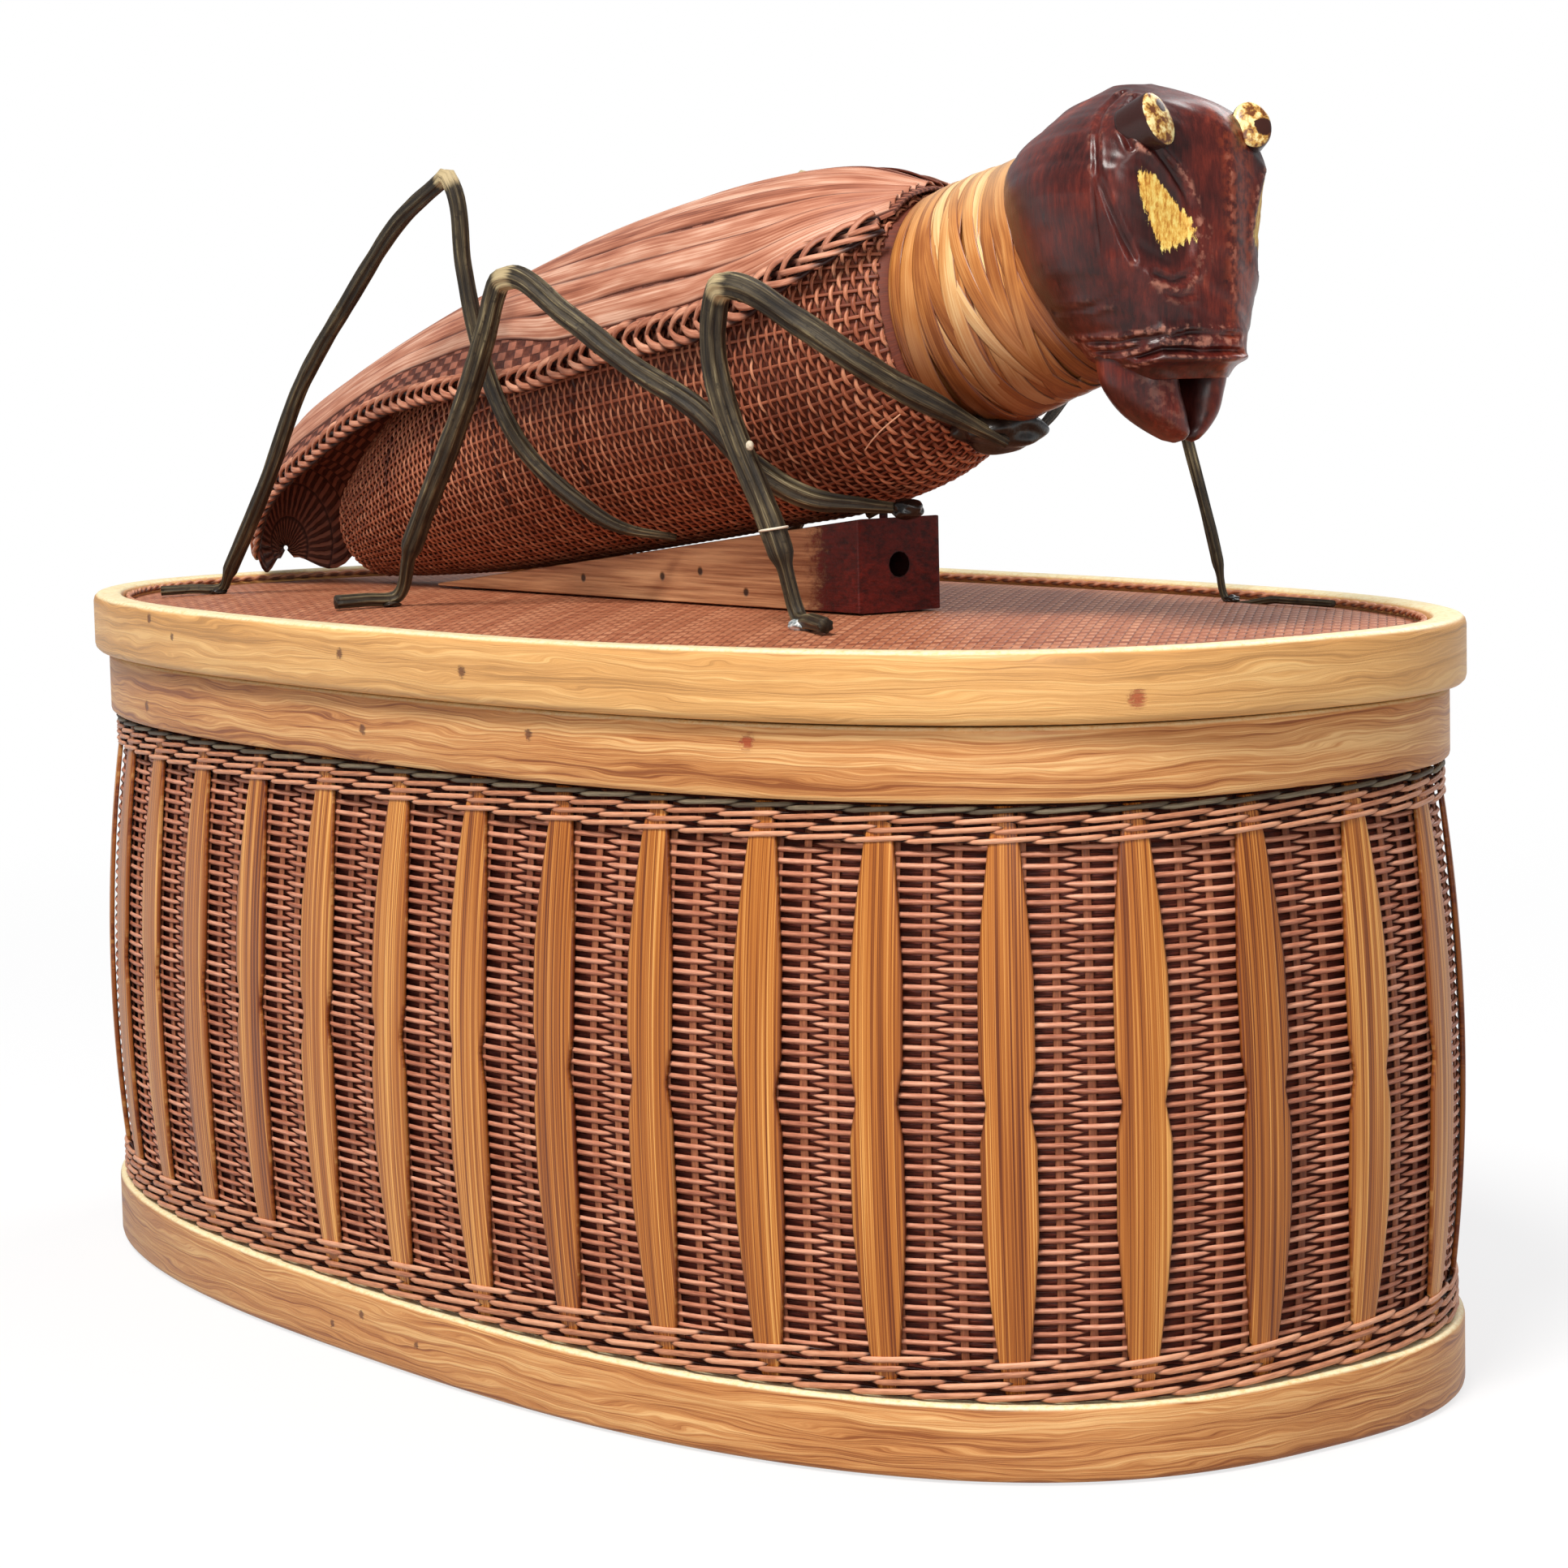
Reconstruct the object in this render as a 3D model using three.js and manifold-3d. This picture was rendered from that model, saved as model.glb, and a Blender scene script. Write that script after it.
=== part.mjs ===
// Woven bamboo bug box: an oval lidded basket with a grasshopper standing on its lid.
// Millimetres, +Z up. The origin is under the middle of the basket, on the surface it stands on.
// +X is the long axis of the oval and points the way the grasshopper looks. -Y is its right side.

import * as THREE from 'three';
import { mergeVertices } from 'three/addons/utils/BufferGeometryUtils.js';
import Module from 'manifold-3d';

const wasm = await Module();
wasm.setup();

// Oval plan, shared by every hoop, lining, panel and wall
const oval_length = 320;
const oval_width = 169.4;
const oval_power = 2.58; // 2 is an ellipse, higher is squarer
const slat_count = 36;
const facets_per_slat = 2;

// Fits
const fit_gap = 0.3; // between pieces that seat on each other
const lid_play = 1.6; // between the lid's lining and the collar it slips over

// Basket hoops, split bamboo bent round the oval
const base_setback = 0.8; // of the base hoop, inside the lid hoop's outline
const rim_setback = 2.7; // of the rim hoop, inside the lid hoop's outline
const base_hoop_height = 12.2;
const rim_hoop_height = 11.9;
const hoop_thickness = 4.8;
const hoop_round = 0.9;
const weave_height = 93.2; // of the weave that shows between the two hoops

// Woven wall and the floor
const wall_thickness = 2.4;
const wall_setback = 3.2; // of the weave, inside the hoops' faces
const wall_bulge = 3.4;
const wall_foot = 1.2; // the wall's lower edge, above the surface the basket stands on
const wall_head_drop = 1.4; // the wall's upper edge, below the rim hoop's top
const floor_height = 2.2;
const floor_thickness = 2.4;
const base_lining_height = 8.5;
const base_lining_thickness = 1.6;

// Waisted slats laid over the weave, between the twined bands that hold their ends
const slat_thickness = 0.9;
const slat_width = 9.5;
const slat_end_width = 5.6;
const slat_shoulder_width = 7.8;
const waist_depth = 1.1; // of the V cut in each edge at mid height
const slat_drift = 6.5; // most that the slats of the near long side stray towards +X, along the oval
const waist_height = 12;
const slat_shoulder = 0.76; // share of the half slat at which it narrows faster
const band_setback = 0.7; // of the bands, inside the hoops' faces
const top_band_height = 6.4;
const bottom_band_height = 7.0;

// Collar in the basket's mouth, which the lid slips over
const collar_rise = 5.2; // above the rim hoop
const collar_depth = 13.3; // below the rim hoop's top
const collar_thickness = 1.8;

// Lid
const lid_hoop_height = 11.4;
const lid_hoop_thickness = 6.0;
const lid_hoop_round = 1.4;
const lid_lining_drop = 4.4; // of the panel's underside, below the lid hoop's top edge
const lid_lining_height = 6.0;
const panel_thickness = 1.8;
const panel_rise = 1.6; // of its crown above its edge
const bead_thickness = 1.2;
const bead_height = 1.6;

// Wedge block under the belly
const block_length = 137;
const block_end = 55; // its thick end, from the middle of the lid
const block_width = 18.2;
const block_height = 16.4; // at its thick end
const block_tip = 0.6; // its height at the thin end
const block_round = 0.8;
const block_hole = 4.5;
const block_hole_depth = 11;

// Abdomen, a woven egg that lies on the block's slope
const abdomen_length = 199;
const abdomen_height = 59.8;
const abdomen_width = 55;
const abdomen_tail = -121; // its tail end, from the middle of the lid, along the slope
const belly_seat = 0.4; // between the belly and the block
const pin_diameter = 1.5;
const pin_inset = 3.6; // from the block's thick end to the pin

// Folded wings, one shell over the back, and the braids along their edges
const wing_thickness = 1.8;
const wing_gap = 0.6; // over the abdomen's back
const wing_overhang = 36; // of the hood, past the abdomen's tail
const braid_width = 5.2;
const braid_thickness = 2.6;
const braid_lift = 0.25; // of the braid's middle, outside the wings' middle

// Neck, wound with one flat strip, and the leg pitch under it
const neck_length = 30;
const neck_rise = 4.6;
const neck_lean_back = 8; // degrees, of the winding's rear end
const neck_lean_front = 26; // degrees, of the collar of the head
const neck_height = 42;
const neck_width_back = 32;
const neck_width_front = 22.5;
const strip_width = 2.1;
const strip_thickness = 1.1;
const strip_turns = 8;

// Carved head
const head_length = 32; // from the middle of its collar to the nose
const head_crown = 28; // from the middle of its collar to the top
const head_chin = 19; // from the middle of its collar down to the lip
const head_width = 37.5;
const jaw_length = 14;
const nose_ridge = 1.6;
const cheek_length = 19;
const cheek_width = 10.5;
const cheek_depth = 1.0;
const eye_spacing = 21;
const eye_diameter = 6.6;
const eye_length = 7;
const eye_out = 3.6; // of the eye, out of its socket

// Legs, bent stems
const front_stem = 4.6;
const front_stem_left = 2.2;
const middle_stem = 4.2;
const rear_stem = 3.2;
const toe_flatness = 0.62;
const pitch_share = 0.1; // of the neck's length, at which the pitch sits
const pitch_length = 14;
const pitch_width = 20;
const pitch_depth = 4.8;

const half_length = oval_length / 2;
const half_width = oval_width / 2;
const rim_bottom = base_hoop_height + weave_height;
const rim_top = rim_bottom + rim_hoop_height;
const lid_bottom = rim_top + fit_gap;
const lid_top = lid_bottom + lid_hoop_height;
const panel_edge = lid_top - lid_lining_drop + fit_gap + panel_thickness;
const panel_inset = lid_hoop_thickness + fit_gap;
const block_base = panel_edge + panel_rise + fit_gap;
const slope = Math.atan2(block_height - block_tip, block_length);

const finish = (color, roughness) => new THREE.MeshStandardMaterial({ color, roughness, metalness: 0 });
const hoop_bamboo = finish(0xcf9352, 0.45);
const slat_bamboo = finish(0xb9752f, 0.5);
const weave_bamboo = finish(0x9c6148, 0.65);
const mat_bamboo = finish(0xab6246, 0.6);
const wing_strip = finish(0xb5704f, 0.55);
const neck_strip = finish(0xd59a58, 0.4);
const head_lacquer = finish(0x4a1f18, 0.3);
const eye_gilt = finish(0xc9a24a, 0.5);
const leg_stem = finish(0x3b3327, 0.7);
const pitch = finish(0x16110e, 0.5);
const block_wood = finish(0xb9753f, 0.5);

const map_range = THREE.MathUtils.mapLinear;
const object = new THREE.Group();

function add(parent, name, geometry, material) {
  const mesh = new THREE.Mesh(geometry, material);
  mesh.name = name;
  parent.add(mesh);
  return mesh;
}

// Closed meshes from rings of points

// The faces are turned outwards, whichever way the rings run
function indexed(points, triangles) {
  let volume = 0;
  for (let i = 0; i < triangles.length; i += 3) {
    const [a, b, c] = triangles.slice(i, i + 3).map((corner) => points[corner]);
    volume += a.dot(new THREE.Vector3().crossVectors(b, c));
  }
  const geometry = new THREE.BufferGeometry();
  const places = points.flatMap((p) => [p.x, p.y, p.z]);
  geometry.setAttribute('position', new THREE.Float32BufferAttribute(places, 3));
  geometry.setIndex(volume < 0 ? [...triangles].reverse() : triangles);
  return geometry;
}

function middle(ring) {
  const sum = ring.reduce((total, p) => total.add(p), new THREE.Vector3());
  return sum.divideScalar(ring.length);
}

// Skin over a row of rings, each with the same number of points, its two ends closed by fans.
function loft(rings) {
  const points = rings.flat();
  const sides = rings[0].length;
  const triangles = [];
  for (let row = 0; row + 1 < rings.length; row += 1) {
    for (let i = 0; i < sides; i += 1) {
      const a = row * sides + i;
      const b = row * sides + ((i + 1) % sides);
      triangles.push(a, b, a + sides, b, b + sides, a + sides);
    }
  }
  const first = points.push(middle(rings[0])) - 1;
  const last = points.push(middle(rings.at(-1))) - 1;
  const last_row = (rings.length - 1) * sides;
  for (let i = 0; i < sides; i += 1) {
    const next = (i + 1) % sides;
    triangles.push(first, next, i, last, last_row + i, last_row + next);
  }
  return indexed(points, triangles);
}

// Skin over rings that close on themselves the long way round, as a hoop does
function endless_loft(rings) {
  const sides = rings[0].length;
  const triangles = [];
  for (let row = 0; row < rings.length; row += 1) {
    const next_row = (row + 1) % rings.length;
    for (let i = 0; i < sides; i += 1) {
      const a = row * sides + i;
      const b = row * sides + ((i + 1) % sides);
      const c = next_row * sides + i;
      const d = next_row * sides + ((i + 1) % sides);
      triangles.push(a, c, b, b, c, d);
    }
  }
  return indexed(rings.flat(), triangles);
}

// Joins and cuts

function solid(geometry) {
  const bare = geometry.clone();
  bare.deleteAttribute('normal');
  bare.deleteAttribute('uv');
  const merged = mergeVertices(bare, 1e-5);
  return new wasm.Manifold(new wasm.Mesh({
    numProp: 3,
    vertProperties: new Float32Array(merged.attributes.position.array),
    triVerts: new Uint32Array(merged.index.array),
  }));
}

function geometry_of(manifold) {
  const mesh = manifold.getMesh();
  const geometry = new THREE.BufferGeometry();
  geometry.setAttribute('position', new THREE.Float32BufferAttribute(mesh.vertProperties, 3));
  geometry.setIndex(new THREE.Uint32BufferAttribute(mesh.triVerts, 1));
  return geometry;
}

// Oval plan: corners spaced round a superellipse, so that each slat lies on one flat facet. They
// are spaced evenly, but for the near long side, where the slats stray a little.

function oval_corners(count) {
  const steps = count * 60;
  const outline = [];
  for (let i = 0; i <= steps; i += 1) {
    const angle = (i / steps) * Math.PI * 2;
    const c = Math.cos(angle);
    const s = Math.sin(angle);
    outline.push(new THREE.Vector2(
      half_length * Math.sign(c) * Math.abs(c) ** (2 / oval_power),
      half_width * Math.sign(s) * Math.abs(s) ** (2 / oval_power),
    ));
  }
  const reach = [0];
  for (let i = 1; i <= steps; i += 1) {
    reach.push(reach[i - 1] + outline[i].distanceTo(outline[i - 1]));
  }
  const corners = [];
  let at = 0;
  for (let k = 0; k < count; k += 1) {
    const share = (k + 0.5) / count;
    const stray = share < 0.64 ? 0 : 0.5 - 0.5 * Math.cos(((share - 0.64) / 0.36) * Math.PI * 2);
    const wanted = share * reach[steps] + slat_drift * stray;
    while (reach[at + 1] < wanted) at += 1;
    const part = (wanted - reach[at]) / (reach[at + 1] - reach[at]);
    corners.push(outline[at].clone().lerp(outline[at + 1], part));
  }
  return corners;
}

const corners = oval_corners(slat_count * facets_per_slat);

// Mitred direction at each corner: a step of 1 along it moves both facets out by 1
const mitres = corners.map((corner, k) => {
  const before = corners[(k + corners.length - 1) % corners.length];
  const after = corners[(k + 1) % corners.length];
  const normal_in = new THREE.Vector2(corner.y - before.y, before.x - corner.x).normalize();
  const normal_out = new THREE.Vector2(after.y - corner.y, corner.x - after.x).normalize();
  const both = normal_in.clone().add(normal_out).normalize();
  return both.divideScalar(both.dot(normal_in));
});

function oval_point(k, offset, z) {
  const p = corners[k].clone().addScaledVector(mitres[k], offset);
  return new THREE.Vector3(p.x, p.y, z);
}

// A hoop of any section: the profile is a closed list of [offset from the oval, height]
function hoop(profile) {
  return endless_loft(corners.map((_, k) => profile.map(([offset, z]) => oval_point(k, offset, z))));
}

function strip_profile(outer, thickness, bottom, top, round = 0) {
  const inner = outer - thickness;
  if (round === 0) return [[inner, bottom], [outer, bottom], [outer, top], [inner, top]];
  return [
    [inner, bottom], [outer - round, bottom], [outer, bottom + round],
    [outer, top - round], [outer - round, top], [inner, top],
  ];
}

// A plate inside the oval, its top crowned by rise
function plate(offset, top, thickness, rise, top_steps, bottom_steps) {
  const ring = (share, level) => corners.map((_, k) => {
    const edge = oval_point(k, offset, 0).multiplyScalar(share);
    edge.z = level + rise * (1 - share ** 4);
    return edge;
  });
  const under = bottom_steps.map((share) => ring(share, top - thickness));
  const over = top_steps.map((share) => ring(share, top));
  return loft([...under, ...over]);
}

// Basket

const hoop_line = (z) => map_range(z, base_hoop_height, rim_bottom, -base_setback, -rim_setback);
const weave_middle = base_hoop_height + weave_height / 2;
const slat_bottom = base_hoop_height + bottom_band_height + fit_gap;
const slat_top = rim_bottom - top_band_height - fit_gap;
const slat_middle = (slat_bottom + slat_top) / 2;
const slat_half_height = (slat_top - slat_bottom) / 2;

function weave_face(z) {
  const share = (z - weave_middle) / (weave_height / 2);
  return hoop_line(z) - wall_setback + wall_bulge * (1 - share * share);
}

// The slats and the wall bend at the same heights, given as shares of half the slat
const bend_shares = [1, 0.5, 0];
const bend_heights = [...bend_shares, ...[...bend_shares.slice(0, -1)].reverse().map((share) => -share)]
  .map((share) => slat_middle - share * slat_half_height);

// The wall, thicker in the twined bands above and below the slats, and stepped in behind the hoops
function wall() {
  const inset = hoop_thickness + fit_gap;
  const band_bottom = base_hoop_height + fit_gap;
  const band_top = rim_bottom - fit_gap;
  const foot = [-base_setback - inset, wall_foot];
  const head_edge = [-rim_setback - inset, rim_top - wall_head_drop];
  const bends = bend_heights.map((z) => [weave_face(z), z]);
  const band_line = (z) => hoop_line(z) - band_setback;
  const outer = [
    foot,
    [foot[0], band_bottom],
    [band_line(band_bottom), band_bottom],
    [band_line(slat_bottom), slat_bottom - fit_gap],
    ...bends,
    [band_line(slat_top), slat_top + fit_gap],
    [band_line(band_top), band_top],
    [head_edge[0], band_top],
    head_edge,
  ];
  const inner = [foot, ...bends, head_edge].reverse();
  return hoop([...outer, ...inner.map(([offset, z]) => [offset - wall_thickness, z])]);
}

function slat_half_width(share) {
  const a = Math.abs(share);
  const waist = waist_height / 2 / slat_half_height;
  if (a < waist) return slat_width / 2 - waist_depth * (1 - a / waist);
  if (a < 0.5) return slat_width / 2;
  if (a < slat_shoulder) {
    return map_range(a, 0.5, slat_shoulder, slat_width, slat_shoulder_width) / 2;
  }
  return map_range(a, slat_shoulder, 1, slat_shoulder_width, slat_end_width) / 2;
}

// A slat on one facet of the wall: flat across, and bent with the wall's bulge
function slat(k) {
  const a = oval_point(k, 0, 0);
  const b = oval_point((k + 1) % corners.length, 0, 0);
  const across = b.clone().sub(a).normalize();
  const out = new THREE.Vector3(across.y, -across.x, 0);
  const centre = a.add(b).multiplyScalar(0.5);
  const waist = waist_height / 2 / slat_half_height;
  const shares = [-1, -slat_shoulder, -0.5, -waist, 0, waist, 0.5, slat_shoulder, 1];
  const bends = bend_heights.map((z) => [z, weave_face(z)]);
  const face_at = (z) => {
    const next = Math.max(1, bends.findIndex(([height]) => height >= z - 1e-6));
    return map_range(z, bends[next - 1][0], bends[next][0], bends[next - 1][1], bends[next][1]);
  };
  const rings = shares.map((share) => {
    const z = slat_middle + share * slat_half_height;
    const w = slat_half_width(share);
    const back = face_at(z) + fit_gap;
    const front = back + slat_thickness;
    return [[-w, back], [w, back], [w, front], [-w, front]].map(([side, depth]) => {
      const p = centre.clone().addScaledVector(across, side).addScaledVector(out, depth);
      p.z = z;
      return p;
    });
  });
  return loft(rings);
}

const basket = new THREE.Group();
object.add(basket);
const base_inner = -base_setback - hoop_thickness - fit_gap - wall_thickness;
const rim_inner = -rim_setback - hoop_thickness - fit_gap - wall_thickness;
const lining_bottom = floor_height + floor_thickness + fit_gap;

add(basket, 'base_hoop', hoop(strip_profile(
  -base_setback, hoop_thickness, 0, base_hoop_height, hoop_round,
)), hoop_bamboo);
add(basket, 'rim_hoop', hoop(strip_profile(
  -rim_setback, hoop_thickness, rim_bottom, rim_top, hoop_round,
)), hoop_bamboo);
add(basket, 'basket_wall', wall(), weave_bamboo);
add(basket, 'basket_floor', plate(
  base_inner - fit_gap, floor_height + floor_thickness, floor_thickness, 0, [1], [1],
), weave_bamboo);
add(basket, 'base_lining', hoop(strip_profile(
  base_inner - fit_gap, base_lining_thickness, lining_bottom, lining_bottom + base_lining_height,
)), hoop_bamboo);
add(basket, 'mouth_collar', hoop(strip_profile(
  rim_inner - fit_gap, collar_thickness, rim_top - collar_depth, rim_top + collar_rise,
)), hoop_bamboo);
for (let i = 0; i < slat_count; i += 1) {
  add(basket, `slat_${String(i + 1).padStart(2, '0')}`, slat(i * facets_per_slat), slat_bamboo);
}

// Lid

const lid = new THREE.Group();
object.add(lid);
const lining_top = lid_top - lid_lining_drop;
const lid_lining_outer = -lid_hoop_thickness - fit_gap;
const lid_lining_thickness = lid_lining_outer - (rim_inner - fit_gap + lid_play);
const bead_bottom = panel_edge + fit_gap + panel_rise * 0.06;

add(lid, 'lid_hoop', hoop(strip_profile(
  0, lid_hoop_thickness, lid_bottom, lid_top, lid_hoop_round,
)), hoop_bamboo);
add(lid, 'lid_lining', hoop(strip_profile(
  lid_lining_outer, lid_lining_thickness, lining_top - lid_lining_height, lining_top,
)), hoop_bamboo);
add(lid, 'lid_panel', plate(
  -panel_inset, panel_edge, panel_thickness, panel_rise, [1, 0.86, 0.6], [0.6, 1],
), mat_bamboo);
add(lid, 'lid_bead', hoop(strip_profile(
  -panel_inset, bead_thickness, bead_bottom, bead_bottom + bead_height,
)), mat_bamboo);

// Height of the panel's crown at a place on the lid
function panel_height(x, y) {
  const a = half_length - panel_inset;
  const b = half_width - panel_inset;
  const share = ((Math.abs(x) / a) ** oval_power + (Math.abs(y) / b) ** oval_power) ** (1 / oval_power);
  return panel_edge + panel_rise * (1 - Math.min(1, share) ** 4);
}

// Wedge block, with a hole drilled in its thick end
function block() {
  const outline = new THREE.Shape();
  const thin_end = block_end - block_length;
  const inset = block_round / 4;
  outline.moveTo(thin_end + inset, inset);
  outline.lineTo(block_end - inset, inset);
  outline.lineTo(block_end - inset, block_height - inset);
  outline.lineTo(thin_end + inset, block_tip - inset);
  const body = new THREE.ExtrudeGeometry(outline, {
    depth: block_width - 2 * block_round,
    bevelEnabled: true,
    bevelThickness: block_round,
    bevelSize: inset,
    bevelSegments: 2,
  });
  body.translate(0, 0, block_round - block_width / 2);
  body.rotateX(Math.PI / 2);
  const drill = new THREE.CylinderGeometry(block_hole / 2, block_hole / 2, block_hole_depth * 2, 12);
  drill.rotateZ(Math.PI / 2);
  drill.translate(block_end, 0, block_height / 2);
  return solid(body).subtract(solid(drill)).translate([0, 0, block_base]);
}

// Grasshopper. Its body is modelled along the block's slope: x runs from tail to head along the
// slope, z is square to the block's upper face, and the abdomen lies just above it.

const insect = new THREE.Group();
insect.position.z = block_base + block_tip + (block_length - block_end) * Math.tan(slope);
insect.rotation.y = -slope;
insect.updateMatrixWorld();
lid.add(insect);

const body_sides = 24;
const neck_start = abdomen_tail + abdomen_length;

// An upright oval ring: width is its half size across the body, height its half size up the body,
// lean its angle backwards from square to the body
function body_ring(x, centre, height, width, lean = 0, sides = body_sides) {
  const ring = [];
  for (let i = 0; i < sides; i += 1) {
    const angle = (i / sides) * Math.PI * 2;
    const up = height * Math.sin(angle);
    const side = width * Math.cos(angle);
    ring.push(new THREE.Vector3(x - up * Math.sin(lean), side, centre + up * Math.cos(lean)));
  }
  return ring;
}

// Smooth values between stations [place, ...values]
function smooth(stations) {
  const places = stations.map((row) => row[0]);
  const values = stations.flatMap((row) => row.slice(1));
  const curve = new THREE.CubicInterpolant(places, values, stations[0].length - 1);
  return (place) => [...curve.evaluate(place)];
}

// Abdomen stations: share of its length, then centre, half height and half width as shares of
// its height, half its height and half its width
const neck_share = [neck_height / abdomen_height, neck_width_back / abdomen_width];
const abdomen_at = smooth([
  [0, 0.199, 0.1, 0.1],
  [0.02, 0.232, 0.32, 0.34],
  [0.065, 0.274, 0.46, 0.48],
  [0.156, 0.333, 0.625, 0.655],
  [0.307, 0.416, 0.829, 0.873],
  [0.508, 0.485, 0.965, 0.99],
  [0.709, 0.508, 0.995, 1],
  [0.859, 0.508, 0.96, 0.956],
  [0.94, 0.515, 0.86, 0.85],
  [1, 0.535, ...neck_share],
]);

function abdomen_ring(share, grow = 0) {
  const [centre, height, width] = abdomen_at(share);
  const lean = THREE.MathUtils.degToRad(neck_lean_back) * THREE.MathUtils.smoothstep(share, 0.86, 1);
  return body_ring(
    abdomen_tail + share * abdomen_length,
    belly_seat + centre * abdomen_height,
    height * abdomen_height / 2 + grow,
    width * abdomen_width / 2 + grow,
    lean,
  );
}

function abdomen(grow = 0) {
  const shares = [0, 0.012, 0.035, 0.08, 0.156, 0.25, 0.37, 0.508, 0.65, 0.78, 0.87, 0.94, 1];
  return loft(shares.map((share) => abdomen_ring(share, grow)));
}
add(insect, 'abdomen', abdomen(), weave_bamboo);

// The block carries a wire pin that reaches up to the belly
function pinned_block() {
  const x = block_end - pin_inset;
  const share = (x - abdomen_tail) / abdomen_length;
  const [centre, height] = abdomen_at(share);
  const belly = insect.localToWorld(new THREE.Vector3(
    x, 0, belly_seat + centre * abdomen_height - height * abdomen_height / 2,
  ));
  const bottom = block_base + block_height / 2;
  const length = belly.z - fit_gap - bottom;
  const pin = new THREE.CylinderGeometry(pin_diameter / 2, pin_diameter / 2, length, 8);
  pin.rotateX(Math.PI / 2);
  pin.translate(belly.x, 0, bottom + length / 2);
  return geometry_of(block().add(solid(pin)));
}
add(lid, 'mounting_block', pinned_block(), block_wood);

// Neck, from the abdomen's front end to the head's collar

function neck_at(share) {
  const mix = THREE.MathUtils.lerp;
  return {
    x: neck_start + neck_length * share,
    centre: belly_seat + 0.535 * abdomen_height + neck_rise * share,
    height: neck_height / 2,
    width: mix(neck_width_back, neck_width_front, share) / 2,
    lean: THREE.MathUtils.degToRad(mix(neck_lean_back, neck_lean_front, share)),
  };
}

function neck(grow, from = 0, to = 1, rings = 3) {
  const shares = Array.from({ length: rings }, (_, i) => THREE.MathUtils.lerp(from, to, i / (rings - 1)));
  return loft(shares.map((share) => {
    const at = neck_at(share);
    return body_ring(at.x, at.centre, at.height + grow, at.width + grow, at.lean);
  }));
}
const end_gap = (2 * fit_gap) / neck_length;
const steps_per_turn = 20;
const facet_dip = (neck_height / 2) * (1 - Math.cos(Math.PI / steps_per_turn));
const tenon = neck(-strip_thickness - fit_gap - facet_dip, end_gap, 1.1, 5);

// One flat strip wound round the neck without a break, its turns fanned between the two ends
function neck_winding() {
  const steps = strip_turns * steps_per_turn;
  const margin = (strip_width / 2 + fit_gap) / (neck_length * 0.72);
  const centres = [];
  const rings = [];
  for (let i = 0; i <= steps; i += 1) {
    const at = neck_at(THREE.MathUtils.lerp(margin, 1 - margin, i / steps));
    const angle = (i / steps_per_turn) * Math.PI * 2 - Math.PI / 2;
    const along = new THREE.Vector3(Math.cos(at.lean), 0, Math.sin(at.lean));
    const up = new THREE.Vector3(-Math.sin(at.lean), 0, Math.cos(at.lean));
    const out = new THREE.Vector3(0, Math.cos(angle) / at.width, 0);
    out.addScaledVector(up, Math.sin(angle) / at.height).normalize();
    const centre = new THREE.Vector3(at.x, at.width * Math.cos(angle), at.centre);
    centre.addScaledVector(up, at.height * Math.sin(angle)).addScaledVector(out, -strip_thickness / 2);
    centres.push(centre);
    rings.push([[-1, -1], [-1, 1], [1, 1], [1, -1]].map(([a, b]) => centre.clone()
      .addScaledVector(along, a * strip_width / 2)
      .addScaledVector(out, b * strip_thickness / 2)));
  }
  const gaps = centres.slice(0, -steps_per_turn)
    .map((centre, i) => centre.distanceTo(centres[i + steps_per_turn]) - strip_width);
  console.log('least gap between turns of the neck strip, mm:', Math.min(...gaps).toFixed(2));
  return loft(rings);
}
add(insect, 'neck_winding', neck_winding(), neck_strip);

// Wings: a shell over the back that ends in a hood behind the tail.
// Stations: share of the abdomen's length, then centre, half height and half width as its shares
const wing_at = smooth([
  [-0.176, 0.21, 0.03, 0.03],
  [-0.156, 0.235, 0.34, 0.27],
  [-0.106, 0.255, 0.5, 0.49],
  [-0.02, 0.3, 0.68, 0.71],
  [0.105, 0.345, 0.8, 0.87],
  [0.256, 0.405, 0.875, 0.96],
  [0.432, 0.465, 0.93, 1.01],
  [0.608, 0.5, 0.985, 1.015],
  [0.784, 0.513, 0.99, 1.0],
  [0.859, 0.511, 0.965, 0.965],
  [0.94, 0.516, 0.865, 0.858],
  [1, 0.535, ...neck_share],
]);
const hood_share = wing_overhang / abdomen_length;

// The stations behind the tail are drawn out to the hood's overhang
function wing_place(share) {
  return share < 0 ? share * (hood_share / 0.176) : share;
}

function wing_ring(share, grow) {
  const [centre, height, width] = wing_at(share);
  const lean = THREE.MathUtils.degToRad(neck_lean_back) * THREE.MathUtils.smoothstep(share, 0.86, 1);
  return body_ring(
    abdomen_tail + wing_place(share) * abdomen_length,
    belly_seat + centre * abdomen_height,
    Math.max(0.5, height * abdomen_height / 2 + grow),
    Math.max(0.5, width * abdomen_width / 2 + grow),
    lean,
  );
}

// Centre line of the braided edge: share of the abdomen's length, height as a share of its height
const braid_at = smooth([
  [-0.16, 0.15], [-0.135, 0.19], [-0.03, 0.355], [0.105, 0.47], [0.226, 0.555], [0.4, 0.573],
  [0.56, 0.55], [0.67, 0.59], [0.81, 0.605], [0.875, 0.645], [0.95, 0.75], [1, 0.83],
]);

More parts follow.
